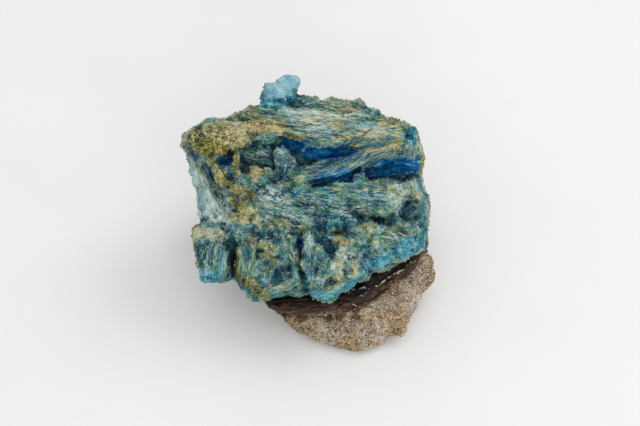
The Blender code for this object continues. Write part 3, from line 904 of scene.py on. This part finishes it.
def add_up(tree, total, *parts):
    """The total with more added to it, as pairs of a value and how many times it counts."""
    for value, times in parts:
        total = calculate(tree, "MULTIPLY_ADD", value, times, total)
    return total


def blend(tree, share, first, second, mode="MIX"):
    """The first colour, turned into the second as far as the share says."""
    places = {0: share, 6: first, 7: second}
    return add_node(tree, "ShaderNodeMix", places, data_type="RGBA", blend_type=mode).outputs[2]


def tinted(tree, share, colour, tint):
    """The colour, multiplied by the tint as far as the share says."""
    return blend(tree, share, colour, blend(tree, 1.0, colour, (*tint, 1), "MULTIPLY"))


def spread(tree, value, low, high, start=0.0, end=1.0):
    """The value between low and high drawn out from start to end, with soft ends."""
    places = {"Value": value, "From Min": low, "From Max": high, "To Min": start, "To Max": end}
    return add_node(tree, "ShaderNodeMapRange", places, interpolation_type="SMOOTHSTEP").outputs["Result"]


def paint(red, green, blue):
    """A colour given as it looks, in steps of 1/255."""
    look = np.array((red, green, blue)) / 255
    return (*np.where(look < 0.04, look / 12.9, ((look + 0.055) / 1.055) ** 2.4).tolist(), 1)


def ramp(tree, value, *stops):
    """A colour for each value, from pairs of a value from 0 to 1 and a colour in steps of 1/255."""
    node = add_node(tree, "ShaderNodeValToRGB", {"Fac": value})
    elements = node.color_ramp.elements
    while len(elements) < len(stops):
        elements.new(0.5)
    for element, (place, colour) in zip(elements, stops):
        element.position = place
        element.color = paint(*colour)
    return node.outputs["Color"]


def mask_of(tree, name, output="Fac"):
    return add_node(tree, "ShaderNodeAttribute", {}, attribute_name=name).outputs[output]


def new_group(name, inputs, outputs):
    """A shader group with these inputs, each with its starting value, and outputs of these kinds;
    what it is given, and the node that takes what it makes."""
    group = bpy.data.node_groups.new(name, "ShaderNodeTree")
    for socket, value in inputs.items():
        kind = "NodeSocketFloat" if isinstance(value, float) else "NodeSocketVector"
        made = group.interface.new_socket(socket, in_out="INPUT", socket_type=kind)
        made.default_value = value
    for socket, kind in outputs.items():
        group.interface.new_socket(socket, in_out="OUTPUT", socket_type=kind)
    return group, group.nodes.new("NodeGroupInput").outputs, group.nodes.new("NodeGroupOutput")


def place_group(tree, group, **inputs):
    return add_node(tree, "ShaderNodeGroup", inputs, node_tree=group).outputs


def millimetres(tree):
    """The place on the specimen, in millimetres."""
    coordinates = add_node(tree, "ShaderNodeTexCoord", {}).outputs["Object"]
    scale = {0: coordinates, "Scale": 1 / MM}
    return add_node(tree, "ShaderNodeVectorMath", scale, operation="SCALE").outputs[0]


def make_clouding():
    """Uneven cloud of one size in millimetres, from 0 to 1, for anything that varies."""
    inputs = {"Place": (0.0, 0.0, 0.0), "Size": 3.0, "Detail": 3.0, "Contrast": 0.2}
    group, given, result = new_group("clouding", inputs, {"Cloud": "NodeSocketFloat"})
    rate = calculate(group, "DIVIDE", 1.0, given["Size"])
    inputs = {"Vector": given["Place"], "Scale": rate, "Detail": given["Detail"]}
    cloud = add_node(group, "ShaderNodeTexNoise", inputs).outputs["Fac"]
    low = calculate(group, "SUBTRACT", 0.5, given["Contrast"])
    high = calculate(group, "ADD", 0.5, given["Contrast"])
    feed(group, result, {"Cloud": spread(group, cloud, low, high)})
    return group


clouding = make_clouding()


def cloud(tree, place, size, detail=3.0, contrast=0.2):
    return place_group(tree, clouding, Place=place, Size=size, Detail=detail, Contrast=contrast)["Cloud"]


def new_material(name):
    material = bpy.data.materials.new(name)
    material.use_nodes = True
    tree = material.node_tree
    return material, tree, tree.nodes["Principled BSDF"]


def bump(tree, height, depth):
    """The way that a surface with small relief this deep, in millimetres, faces."""
    inputs = {"Height": height, "Strength": 1.0, "Distance": depth * MM}
    return add_node(tree, "ShaderNodeBump", inputs).outputs["Normal"]


# Each finish from its darkest to its lightest tone. The material picks the tone by random grain and by how
# proud or sunk a place is: painted light on what stands out, painted shade in hollows.
CRYSTAL_TONES = {
    "plain": ((10, 44, 64), (38, 76, 98), (72, 110, 120), (112, 140, 140), (158, 180, 172)),
    "cyan": ((6, 72, 106), (26, 104, 138), (56, 137, 158), (92, 165, 175), (140, 196, 198)),
    "green": ((4, 54, 60), (22, 90, 88), (58, 124, 110), (98, 148, 126), (146, 182, 156)),
    "pale": ((80, 120, 132), (122, 154, 154), (160, 183, 175), (186, 204, 193), (210, 222, 216)),
    "ice": ((78, 138, 166), (108, 163, 183), (138, 184, 196), (162, 200, 209), (200, 224, 230)),
    "ochre": ((38, 58, 50), (88, 104, 72), (139, 143, 95), (174, 170, 122), (210, 204, 163)),
    "olive": ((26, 42, 22), (68, 80, 34), (114, 116, 58), (152, 148, 86), (194, 188, 132)),
    "shade_and_dark_teal": ((12, 42, 56), (28, 68, 84), (54, 94, 109), (96, 130, 139), (150, 172, 174)),
    "deep": ((0, 44, 76), (0, 74, 124), (0, 106, 168), (4, 140, 204), (60, 172, 214)),
    "brown": ((18, 14, 10), (38, 31, 22), (64, 54, 38), (94, 82, 60), (130, 120, 94)),
}


def crystal_material():
    material, tree, shader = new_material("blue crystal")
    run = mask_of(tree, "grain_run", "Vector")
    number = mask_of(tree, "number")
    fine = cloud(tree, run, 0.4, 2.0)
    medium = cloud(tree, run, 1.6, 2.0)
    patches = cloud(tree, run, 2.4, 1.0)
    first = cloud(tree, run, 0.62, 2.0)
    shifted = add_node(tree, "ShaderNodeVectorMath", {0: run, 1: (31, 17, 53)}, operation="ADD")
    second = cloud(tree, shifted.outputs[0], 1.8, 4.0, 0.16)
    # The tone rises where the place stands proud or out of the face and falls in hollows: painted light on
    # what stands out, painted shade in hollows.
    proud = spread(tree, mask_of(tree, "proud"), 0.0, 1.0, -0.4, 0.36)
    relief = spread(tree, mask_of(tree, "hollow"), -1.2, 1.2, 0.12, -0.12)
    light = calculate(tree, "ADD", proud, relief)
    light = add_up(tree, light, (fine, 0.34), (number, 0.2), (medium, 0.3))
    light = calculate(tree, "ADD", light, 0.1)
    first = add_up(tree, calculate(tree, "MULTIPLY", first, 0.45), (number, 0.2), (patches, 0.35))
    raised = add_up(tree, first, (proud, 0.4))
    # Where the tone is low, in hollows and dips, the dark teal and the deep blue take over: more painted
    # shade.
    sunken = add_up(tree, 0.9, (light, -1.3), (patches, 0.3))
    taking = {
        "green": (calculate(tree, "SUBTRACT", 1.0, second), 0.9),
        "cyan": (second, 0.9),
        "pale": (calculate(tree, "SUBTRACT", 1.0, first), 0.8),
        "ice": (second, 0.5),
        "ochre": (raised, 0.9),
        "olive": (raised, 0.9),
        "shade_and_dark_teal": (sunken, 0.9),
        "deep": (sunken, 0.9),
        "brown": (first, 0.5),
    }
    shades = {
        name: ramp(tree, light, *((k / 4, tone) for k, tone in enumerate(tones)))
        for name, tones in CRYSTAL_TONES.items()
    }
    colour = shades["plain"]
    for name, (chance, pull) in taking.items():
        level = add_up(tree, mask_of(tree, name), (chance, pull))
        share = spread(tree, level, 0.3 + pull / 2, 0.76 + pull / 2)
        colour = blend(tree, share, colour, shades[name])
    rust = spread(tree, cloud(tree, run, 0.9, 1.0), 0.7, 1.0, 0.0, 0.7)
    dusted = spread(tree, mask_of(tree, "ochre"), 0.3, 0.9)
    colour = tinted(tree, calculate(tree, "MULTIPLY", rust, dusted), colour, (1.2, 0.74, 0.5))
    # Darkened and tinted blue the deeper a place lies in a hollow, except where the deep blue shows: painted
    # shade.
    open_crystal = spread(tree, mask_of(tree, "deep"), 0.5, 1.0, 1.0, 0.0)
    sunk = calculate(tree, "MULTIPLY", spread(tree, mask_of(tree, "hollow"), 0.2, 2.2), open_crystal)
    feed(tree, shader, {
        "Base Color": tinted(tree, sunk, colour, (0.36, 0.58, 0.68)),
        "Roughness": spread(tree, fine, 0, 1, 0.5, 0.75),
        "Specular IOR Level": 0.2,
        "Normal": bump(tree, calculate(tree, "ADD", fine, first), 0.16),
    })
    return material


blue_crystal = crystal_material()
crystal.data.materials.append(blue_crystal)
crystal.data.shade_smooth()
lay_out(crystal.data)
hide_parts("chalcanthite_mass")
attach(crystal, "root")

# ---- The loose fibres -------------------------------------------------------------------------
# Fibres of the same crystal, 0.1 to 0.5 mm thick and up to 12 mm long. They grew along the
# bundles, lie on them side by side, bridge the gaps between them, and some stand loose at one end.

RINGS = 10
SIDES = 5
DEEPEST_FIBRE = -16
LOOSE_SHARE = 0.12
SAG = 0.08


def fibre_paths(stretch, seed, rng):
    """The middle line of each fibre of a stretch, as places, and its radius along it."""
    oval, count = stretch.oval, stretch.count
    turn = math.radians(oval.turn)
    angle, reach = rng.uniform(0, 2 * math.pi, count), np.sqrt(rng.uniform(0, 1, count))
    along, wide = reach * np.cos(angle) * oval.half_along, reach * np.sin(angle) * oval.half_wide
    middle = np.stack([
        oval.across + along * math.cos(turn) - wide * math.sin(turn),
        oval.up + along * math.sin(turn) + wide * math.cos(turn),
    ], -1)
    length = stretch.length * rng.uniform(0.3, 1, count)
    heading = turn + 0.1 * rng.normal(size=count) + rng.choice((0, math.pi), count)
    step = length / (RINGS - 1)
    place = middle - 0.5 * length[:, None] * np.stack([np.cos(heading), np.sin(heading)], -1)
    rings = []
    for _ in range(RINGS):
        rings.append(place)
        spot = np.column_stack([place, np.full(count, 3.0)])
        bent = heading + 0.4 * swell(spot, 7, seed, 2) + 0.12 * rng.normal(size=count)
        place = place + step[:, None] * np.stack([np.cos(bent), np.sin(bent)], -1)
    rings = np.stack(rings, 1)
    height = read_map(face_map.heights, rings)
    kept = height.min(1) > DEEPEST_FIBRE
    rings, height, count = rings[kept], height[kept], int(kept.sum())
    for _ in range(3):
        height[:, 1:-1] = np.maximum(height[:, 1:-1], (height[:, :-2] + height[:, 2:]) / 2 - SAG)
    t = np.linspace(-1, 1, RINGS)
    thick = 0.5 * stretch.width * rng.uniform(0.22, 0.5, (count, 1))
    radius = thick * (1 - 0.75 * np.abs(t) ** 2.5) * (1 + 0.14 * rng.normal(size=(count, RINGS)))
    sink = -0.5 * thick * np.abs(t) ** 4 + thick * rng.uniform(0.1, 1.2, (count, 1))
    loose = (rng.random((count, 1)) < LOOSE_SHARE) * np.maximum(t, 0) ** 3
    loose = loose * rng.uniform(0.3, 1.2, (count, 1))
    return np.concatenate([rings, (height + sink + loose)[..., None]], -1), radius


# A tube's spokes in each ring, and the ring and spoke at each corner of every facet of its wall.
SPOKE_TURNS = np.arange(SIDES) * 2 * math.pi / SIDES
WALLS = np.stack([
    np.indices((RINGS - 1, SIDES)).transpose(1, 2, 0) + corner for corner in ((0, 0), (0, 1), (1, 1), (1, 0))
], 2).reshape(-1, 4, 2)


def tubes(paths, radius):
    """The points and faces of a tapered tube along each path."""
    along = unit(np.gradient(paths, axis=1))
    side = unit(np.cross(along, np.array((0, 0, 1.0))))
    top = 0.8 * np.cross(side, along)
    offsets = side[:, :, None] * np.cos(SPOKE_TURNS)[:, None] + top[:, :, None] * np.sin(SPOKE_TURNS)[:, None]
    points = paths[:, :, None] + radius[:, :, None, None] * offsets
    walls = WALLS[..., 0] * SIDES + WALLS[..., 1] % SIDES
    ends = [list(range(SIDES))[::-1], [(RINGS - 1) * SIDES + k for k in range(SIDES)]]
    first = np.arange(len(paths)) * RINGS * SIDES
    faces = (first[:, None, None] + walls).reshape(-1, 4).tolist()
    for start in first.tolist():
        faces += [[start + k for k in end] for end in ends]
    return points.reshape(-1, 3), faces


def cells(count, wide):
    """The low corner of each of so many cells on a square map, and a cell's size. Each cell is
    this many times as wide as it is high."""
    columns = math.ceil(math.sqrt(count / wide))
    size = np.array((1 / columns, 1 / math.ceil(count / columns)))
    k = np.arange(count)
    return np.stack([k % columns, k // columns], -1) * size, size


# Where the wall and the two caps of a tube lie in its strip, as shares of the strip.
WALL_SIZE, WALL_CORNER = (0.86, 0.9), (0.07, 0.05)
CAP_SIZE, FIRST_CAP, LAST_CAP = (0.02, 0.3), (0.035, 0.5), (0.965, 0.5)


def strips(count):
    """The flat map of so many tubes: a strip each, with its two end caps at its ends."""
    corner, size = cells(count, 3)
    wall = WALLS.reshape(-1, 2) / (RINGS - 1, SIDES) * WALL_SIZE + WALL_CORNER
    cap = np.stack([np.cos(SPOKE_TURNS), np.sin(SPOKE_TURNS)], -1) * CAP_SIZE
    caps = np.concatenate([cap[::-1] + FIRST_CAP, cap + LAST_CAP])
    walls = (corner[:, None] + wall * size).reshape(-1, 2)
    return np.concatenate([walls, (corner[:, None] + caps * size).reshape(-1, 2)])


def new_mesh(name, points, faces, corners, material):
    """A mesh of one material, with its corners laid out flat."""
    mesh = bpy.data.meshes.new(name)
    mesh.from_pydata(points.tolist(), [], faces)
    mesh.update()
    mesh.materials.append(material)
    set_map(mesh, corners)
    return mesh


def crystal_piece(name, points, faces, corners, spots, normals, number, proud, masks):
    """A new piece of blue crystal, whose points each take their finish from a spot of the mass."""
    mesh = new_mesh(name, points, faces, corners, blue_crystal)
    store_finish(mesh, spots, normals, number, masks)
    set_masks(mesh, proud=proud)
    mesh.shade_smooth()
    piece = placed(name, mesh)
    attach(piece, "root")


UPPER_FROM = 14
for name, upper in (("upper_fibres", True), ("lower_fibres", False)):
    rng = np.random.default_rng(11 + upper)
    laid = [
        fibre_paths(stretch, 130 + k, rng)
        for k, stretch in enumerate(FIBRES) if (stretch.oval.up > UPPER_FROM) == upper
    ]
    paths, radius = (np.concatenate(parts) for parts in zip(*laid))
    places, faces = tubes(paths, radius)
    rings = from_face(paths.reshape(-1, 3))
    normals = np.tile(OUT, (len(rings), 1))
    masks = {key: np.repeat(values, SIDES) for key, values in finish_masks(rings, normals).items()}
    number = np.repeat(rng.random(len(paths)), RINGS * SIDES)
    crystal_piece(
        name, from_face(places), faces, strips(len(paths)), np.repeat(rings, SIDES, 0),
        np.repeat(normals, SIDES, 0), number, 0.36 + 0.36 * number, masks,
    )

# ---- The granular crust and the crystal crumbs --------------------------------------------------
# Rounded granules of ochre crust, mostly 0.5 to 1 mm across, that grew over the upper left corner
# and in patches elsewhere, and the finer broken crystals that lie on every rough side.


class Surface(NamedTuple):
    """The middle, normal and area of each facet of a mesh, and how far it stands proud."""

    middles: np.ndarray
    normals: np.ndarray
    areas: np.ndarray
    proud: np.ndarray


def surface_of(mesh):
    middles, normals = read(mesh.polygons, "center", 3), read(mesh.polygons, "normal", 3)
    areas = read(mesh.polygons, "area", 1)[:, 0] / MM**2
    corner = read(mesh.loops, "vertex_index", 1)[:, 0].astype(int)
    first_corner = read(mesh.polygons, "loop_start", 1)[:, 0].astype(int)
    proud = read(mesh.attributes["proud"].data, "value", 1)[corner[first_corner], 0]
    return Surface(middles, normals, areas, proud)


def blob(rounds):
    """The points and faces of a ball of radius 1, from 20 facets or, with 2 rounds, 80."""
    shape = bmesh.new()
    bmesh.ops.create_icosphere(shape, subdivisions=rounds, radius=1)
    points = np.array([point.co for point in shape.verts])
    faces = np.array([[point.index for point in face.verts] for face in shape.faces])
    shape.free()
    return points, faces


GRAIN_RISE = 0.2
GRAIN_TILT = 0.3
GRAIN_STRETCH = (0.8, 1.35)


def strewn(surface, rng, density, most, sizes, rounds=1, uneven=0.2, coarse=1.0):
    """Grains on a surface, so many to the square millimetre, between these sizes times how coarse
    they are at each facet: their points and faces, the facet that each point lies over, its
    grain's number, and how high on its grain it is, -1 to 1."""
    share = density * surface.areas
    count = min(most, int(share.sum()))
    chosen = rng.choice(len(share), count, p=share / share.sum())
    normal = unit(surface.normals[chosen] + GRAIN_TILT * rng.normal(size=(count, 3)))
    along = unit(np.cross(normal, rng.normal(size=(count, 3))))
    axes = np.stack([along, np.cross(normal, along), normal], 1)
    radius = rng.uniform(*sizes, count) * np.broadcast_to(coarse, len(share))[chosen]
    stretch = rng.uniform(*GRAIN_STRETCH, (count, 1, 3))
    ball, ball_faces = blob(rounds)
    shape = ball * (1 + uneven * rng.normal(size=(count, len(ball), 1))) * stretch
    middle = surface.middles[chosen] + normal * (radius * GRAIN_RISE * MM)[:, None]
    points = middle[:, None] + (shape * radius[:, None, None]) @ axes * MM
    faces = ball_faces + (np.arange(count) * len(ball))[:, None, None]
    owner = np.repeat(chosen, len(ball))
    number = np.repeat(rng.random(count), len(ball))
    return points.reshape(-1, 3), faces.reshape(-1, 3), owner, number, np.tile(ball[:, 2], count)


def grain_map(faces, rounds):
    """The flat map of such grains: a cell each, with its outer half as a large disc and the half
    that lies against the surface as a small one."""
    ball, ball_faces = blob(rounds)
    corner, size = cells(len(faces) // len(ball_faces), 1.5)
    outer = ball[ball_faces].mean(1)[:, 2] > 0
    tilt = np.arccos(ball[:, 2].clip(-1, 1))[ball_faces]
    turn = np.arctan2(ball[:, 1], ball[:, 0])[ball_faces]
    spots = np.empty((*ball_faces.shape, 2))
    for half, middle, reach in ((outer, (0.33, 0.5), (0.31, 0.465)), (~outer, (0.83, 0.5), (0.15, 0.225))):
        away = tilt[half] if half is outer else math.pi - tilt[half]
        disc = np.stack([np.cos(turn[half]), np.sin(turn[half])], -1) * (away / away.max())[..., None]
        spots[half] = disc * reach + middle
    return (corner[:, None] + spots.reshape(-1, 2) * size).reshape(-1, 2)


def strew(name, density, most, sizes, rounds=1, uneven=0.2, coarse=1.0):
    """One piece of crystal grains on the mass, made as strewn() says. The fine ones are darker."""
    points, faces, owner, number, height = strewn(surface, rng, density, most, sizes, rounds, uneven, coarse)
    masks_there = {key: values[owner] for key, values in masks.items()}
    # Each grain is painted lighter on top and darker underneath, as painted light and shade, and takes the
    # lightness of the place it lies on.
    proud = 0.34 + 0.44 * surface.proud[owner] + 0.22 * height
    proud = proud - 0.3 * (1 - np.broadcast_to(coarse, len(surface.areas))[owner])
    crystal_piece(
        name, points, faces.tolist(), grain_map(faces, rounds), points, surface.normals[owner], number,
        proud, masks_there,
    )


surface = surface_of(crystal.data)
masks = finish_masks(surface.middles, surface.normals)
places = to_face(surface.middles)
face = facing(places, surface.normals)
_, fibrous = combed_places(places, face)
rough = (1 - ease(0.7, 1, masks["deep"])) * (1 - 0.8 * ease(0.4, 0.9, masks["ice"]))
crusted = ease(0.5, 1, masks["ochre"]) * rough
rng = np.random.default_rng(5)
strew(
    "crust_granules",
    density=2.6 * face * crusted * (1 - 0.7 * fibrous),
    most=1500,
    sizes=(0.26, 0.56),
    rounds=2,
    coarse=0.5 + 0.5 * ease(0.78, 1.02, masks["ochre"]),
)
on_face = 2 * face * rough * (1 - 0.6 * fibrous)
strew("face_crumbs", density=on_face, most=6000, sizes=(0.14, 0.34), uneven=0.25)
strew("side_crumbs", density=0.8 * (1 - face) * rough, most=6000, sizes=(0.25, 0.5), uneven=0.22)

# ---- The brown glassy layer -----------------------------------------------------------------
# A seam of dark glass between crystal and rock, up to 5 mm thick. It is laid down in thin,
# wavy strata and its broken edge is glossy. A thin crest along it carries a painted highlight,
# nearly white, and the glass is painted darker up under the crystal as painted shade.

LAYER_CRESTS = (
    Line(((19.8, -22.2), (22.5, -21.2), (24.3, -19.6), (28.4, -18)), 0.3, 0.7),
    Line(((10.8, -24.6), (14, -23.2), (17.4, -23.2), (19.2, -24.4)), 0.26, 0.5),
    Line(((12.9, -28.2), (16.8, -27.6)), 0.3, 0.45),
    Line(((14.4, -25.8), (17.4, -24.8)), 0.26, 0.35),
    Line(((29.4, -17), (31.4, -15)), 0.3, 0.4),
)

# Where the open glass ends on the broad face, which its strata follow. Sand sticks to it below.
GLASS_ENDS = (
    (-11.4, -30), (-6, -30.6), (0, -30), (4.5, -29.2), (9, -28.6), (14.1, -28.6), (18.9, -26), (24, -22.4),
    (29.1, -19.2), (32.4, -15.6), (34.2, -12), (36.6, -11),
)


def over_glass_end(places):
    """How far up the face the places lie from where the open glass ends, in millimetres."""
    return places[:, 1] - np.interp(places[:, 0], *zip(*GLASS_ENDS))


def gritty(points):
    """The small relief of the sand, in millimetres."""
    places = points / MM
    return 0.5 * (grains(places, 0.9, 34) - 0.5) + 0.25 * (grains(places, 0.5, 35) - 0.5)


def sand_clear_of_glass(points):
    """How far from glassy the sand is at these points of the broad face, from 0 to 1."""
    uneven = 0.9 * swell(points / MM, 2.6, 25, 3)
    return ease(-0.3, 3.2, uneven - over_glass_end(to_face(points)))


layer = copy_of("brown_glassy_layer", "brown_glass_layer")
even_out(layer, spacing=0.34, smoothing=2)
points, normals = skin_of(layer.data)
places = to_face(points)
clear = sand_clear_of_glass(points)
sandy = ease(0.02, 0.3, clear)
drawn = ragged(places, 7)
over_border = over_glass_end(drawn)
strata = np.stack([drawn[:, 0] / 9, over_border, drawn[:, 2] / 9], -1)
bands = np.abs(swell(strata, 1.1, 21)) + 0.6 * np.abs(swell(strata, 0.5, 22))
crest = np.max([line_mask(drawn, line) * line.height for line in LAYER_CRESTS], 0)
broken = 1 - ease(0.2, 0.6, swell(points / MM, 1.6, 23, 2))
relief = 0.6 * (bands - 0.4) + 0.3 * swell(points / MM, 3, 24, 2) + 0.8 * crest * broken
relief = relief * (1 - sandy) + gritty(points) * sandy
set_points(layer.data, points + relief[:, None] * normals * MM)
# The proud value makes the sandy parts lighter where they stand out and darker in their dips: painted light
# and shade.
set_masks(
    layer.data, sandy=sandy, stain=1 - clear, number=0.5, proud=0.5 + 0.7 * relief, crest=crest * broken,
    strata=bands, over_border=over_border,
)
layer.data.shade_smooth()


def make_sandstone():
    """Speckled sand of pale, brown and nearly black grains, darkened by a stain."""
    inputs = {"Place": (0.0, 0.0, 0.0), "Proud": 0.5, "Number": 0.5, "Stain": 0.0}
    outputs = {"Colour": "NodeSocketColor", "Roughness": "NodeSocketFloat", "Grain": "NodeSocketFloat"}
    group, given, result = new_group("sandstone", inputs, outputs)
    fine = cloud(group, given["Place"], 0.34, 2.0, 0.17)
    medium = cloud(group, given["Place"], 1.1)
    patches = cloud(group, given["Place"], 6.0, 3.0, 0.16)
    # Lighter where the sand stands proud and darker in its dips: painted light and shade.
    proud = spread(group, given["Proud"], 0.2, 0.8, -0.14, 0.14)
    light = add_up(group, proud, (fine, 0.6), (medium, 0.22), (given["Number"], 0.2))
    light = calculate(group, "ADD", light, -0.06)
    colour = ramp(
        group, light, (0.04, (50, 42, 33)), (0.26, (130, 112, 90)), (0.46, (182, 166, 142)),
        (0.7, (212, 198, 178)), (0.94, (240, 232, 220)),
    )
    colour = tinted(group, spread(group, patches, 0.4, 0.9, 0.0, 0.7), colour, (0.86, 0.7, 0.48))
    stained = ramp(
        group, light, (0.1, (24, 16, 9)), (0.4, (62, 44, 28)), (0.65, (106, 78, 52)), (0.95, (168, 140, 108)),
    )
    stain = add_up(group, given["Stain"], (medium, 0.5))
    feed(group, result, {
        "Colour": blend(group, spread(group, stain, 0.36, 1.1), colour, stained),
        "Roughness": spread(group, stain, 0.35, 1.0, 0.9, 0.5),
        "Grain": fine,
    })
    return group


sandstone_finish = make_sandstone()


def sand_on(tree, place):
    stored = {name.title(): mask_of(tree, name) for name in ("proud", "number", "stain")}
    return place_group(tree, sandstone_finish, Place=place, **stored)


def glass_material():
    material, tree, shader = new_material("brown glass")
    place = millimetres(tree)
    bands = spread(tree, mask_of(tree, "strata"), 0.1, 1.0)
    patches = cloud(tree, place, 2.4)
    fine = cloud(tree, place, 0.5)
    # Lighter at the glass's thin lower edge and darker up under the crystal: painted shade under the crystal,
    # with the thin edge's own lighter colour.
    thin_edge_and_top_shade = spread(tree, mask_of(tree, "over_border"), 0.0, 4.0, 0.2, -0.14)
    level = add_up(tree, thin_edge_and_top_shade, (bands, 0.32), (patches, 0.26), (fine, 0.26))
    colour = ramp(
        tree, level, (0.1, (8, 5, 2)), (0.4, (33, 20, 10)), (0.66, (70, 43, 21)), (0.84, (120, 82, 47)),
        (1.0, (170, 136, 98)),
    )
    # Nearly white along the crests and in small specks: painted highlights on the glossy glass.
    pale = spread(tree, add_up(tree, mask_of(tree, "crest"), (fine, 0.4)), 0.42, 0.9)
    colour = blend(tree, pale, colour, paint(226, 212, 196))
    sand = sand_on(tree, place)
    sandy = mask_of(tree, "sandy")
    feed(tree, shader, {
        "Base Color": blend(tree, sandy, colour, sand["Colour"]),
        "Roughness": add_up(tree, spread(tree, patches, 0.0, 1.0, 0.22, 0.45), (sandy, 0.45)),
        "Specular IOR Level": 0.3,
        "Normal": bump(tree, add_up(tree, fine, (sandy, sand["Grain"])), 0.12),
    })
    return material


layer.data.materials.append(glass_material())
lay_out(layer.data)
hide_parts("brown_glassy_layer")
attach(layer, "root")

# ---- The sandy rock ----------------------------------------------------------------------------
# A slab of coarse sandstone, 56 mm across and 15 mm thick. Its broken sides are speckled with
# pale, brown and nearly black grains 0.3 to 0.6 mm across, and it is stained by the glass above.

STAIN_REACH = 5.4
# Where the stain is mottled: how far above the end of the open glass, and how far across the face.
MOTTLED_FROM = (-7.5, -1.5)
MOTTLED_UP_TO = (1, 3)
MOTTLED_ACROSS_TO = (14, 24)
ROCK_SHIFTS = ((Oval(33, -29, 4, 7, turn=-25), (-1.7, 0.5)), (Oval(37, -17, 2.4, 4), (0.7, 0)))

glass_tree = tree_of(layer.data)


def stain_of(points):
    """How far the glass has stained the rock at these points, from 0 to 1."""
    away = np.array([glass_tree.find_nearest(Vector(point))[3] for point in points]) / MM
    spread_by_depth = 1 - ease(0, 1, away / STAIN_REACH + 0.6 * swell(points / MM, 4, 33, 3))
    glassy = np.minimum(spread_by_depth, 1 - sand_clear_of_glass(points))
    places = to_face(points)
    over = over_glass_end(places)
    mottled = ease(*MOTTLED_FROM, over) * (1 - ease(*MOTTLED_UP_TO, over))
    mottled = mottled * (1 - ease(*MOTTLED_ACROSS_TO, places[:, 0]))
    return np.maximum(glassy, mottled * ease(-0.3, 0.3, swell(points / MM, 2.8, 37, 3)))


rock = copy_of("matrix_rock", "sandy_rock")
even_out(rock, spacing=0.46, smoothing=2)
points, normals = skin_of(rock.data)
points = points + shifts_of(to_face(points), ROCK_SHIFTS)
places = points / MM
relief = 0.7 * swell(places, 5, 31, 3) + 0.5 * (0.4 - np.abs(swell(places, 2, 32, 2)))
relief += gritty(points)
relief *= ease(0, 1.2, places[:, 2])
points += relief[:, None] * normals * MM
points[:, 2] = np.maximum(points[:, 2], 0)
set_points(rock.data, points)
# The proud value makes the rock lighter where it stands out and darker in its dips: painted light and shade.
set_masks(rock.data, proud=0.5 + 0.7 * relief, stain=stain_of(points), number=0.5)


def rock_material():
    material, tree, shader = new_material("sandstone")
    sand = sand_on(tree, millimetres(tree))
    feed(tree, shader, {
        "Base Color": sand["Colour"],
        "Roughness": sand["Roughness"],
        "Specular IOR Level": 0.3,
        "Normal": bump(tree, sand["Grain"], 0.2),
    })
    return material


sandstone = rock_material()
rock.data.materials.append(sandstone)
lay_out(rock.data)
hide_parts("matrix_rock")
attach(rock, "root")

laid = []
rng = np.random.default_rng(8)
for piece, most in ((rock, 3900), (layer, 600)):
    surface = surface_of(piece.data)
    open_sides = ease(0.8, 2, surface.middles[:, 2] / MM) * ease(-0.4, 0.2, surface.normals[:, 2])
    clear = sand_clear_of_glass(surface.middles)
    if piece is layer:
        open_sides = open_sides * ease(0.05, 0.4, clear)
    points, faces, owner, number, height = strewn(
        surface, rng, density=1.6 * open_sides, most=most, sizes=(0.14, 0.32), uneven=0.25
    )
    first = sum(len(part[0]) for part in laid)
    laid.append((points, faces + first, surface.middles[owner], number, height))
points, faces, spots, number, height = (np.concatenate(parts) for parts in zip(*laid))
mesh = new_mesh("sand_grains", points, faces.tolist(), grain_map(faces, 1), sandstone)
# Each sand grain is painted lighter toward its top: painted light.
set_masks(mesh, stain=stain_of(spots), number=number, proud=0.6 + 0.2 * height)
sand = placed("sand_grains", mesh)
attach(sand, "root")

# ---- The floor, the light and the camera ---------------------------------------------------
# A plain pale table under soft studio light: a large soft lamp to the right and a little behind,
# another in front, and a pale room all round. The camera looks at the broad face from 0.6 m.

floor = placed("floor", bpy.data.meshes.new("floor"))
with edited(floor.data, floor.data) as shape:
    bmesh.ops.create_grid(shape, x_segments=1, y_segments=1, size=3)
material, tree, shader = new_material("pale table")
mottle = cloud(tree, millimetres(tree), 40.0)
tint = ramp(tree, mottle, (0.0, (229, 229, 229)), (1.0, (231, 231, 231)))
feed(tree, shader, {"Base Color": tint, "Roughness": 0.85})
floor.data.materials.append(material)

LIT_PLACE = Vector((0, 0, 0.02))


def lamp(name, place, size, power):
    """A round white lamp that shines on the middle of the specimen."""
    light = bpy.data.lights.new(name, "AREA")
    light.shape = "DISK"
    light.size = size
    light.energy = power
    thing = placed(name, light)
    thing.location = place
    thing.rotation_euler = (LIT_PLACE - Vector(place)).to_track_quat("-Z", "Y").to_euler()


lamp("main light", (0.55, 0.3, 0.75), size=0.6, power=2.2)
lamp("fill light", (0.1, -0.8, 0.42), size=0.7, power=2.0)

world = bpy.data.worlds.new("pale room")
world.use_nodes = True
background = world.node_tree.nodes["Background"]
background.inputs["Color"].default_value = (1, 1, 1, 1)
background.inputs["Strength"].default_value = 0.87
bpy.context.scene.world = world
bpy.context.scene.view_settings.view_transform = "Standard"

CAMERA_DISTANCE = 600
CAMERA_ASIDE = (3, -0.3)
LENS = 112.5
camera = placed("camera", bpy.data.cameras.new("camera"))
camera.data.lens = LENS
camera.data.sensor_width = 36
camera.location = from_face((*CAMERA_ASIDE, CAMERA_DISTANCE))
camera.rotation_mode = "QUATERNION"
camera.rotation_quaternion = Matrix(FACE_AXES).transposed().to_quaternion()
bpy.context.scene.camera = camera
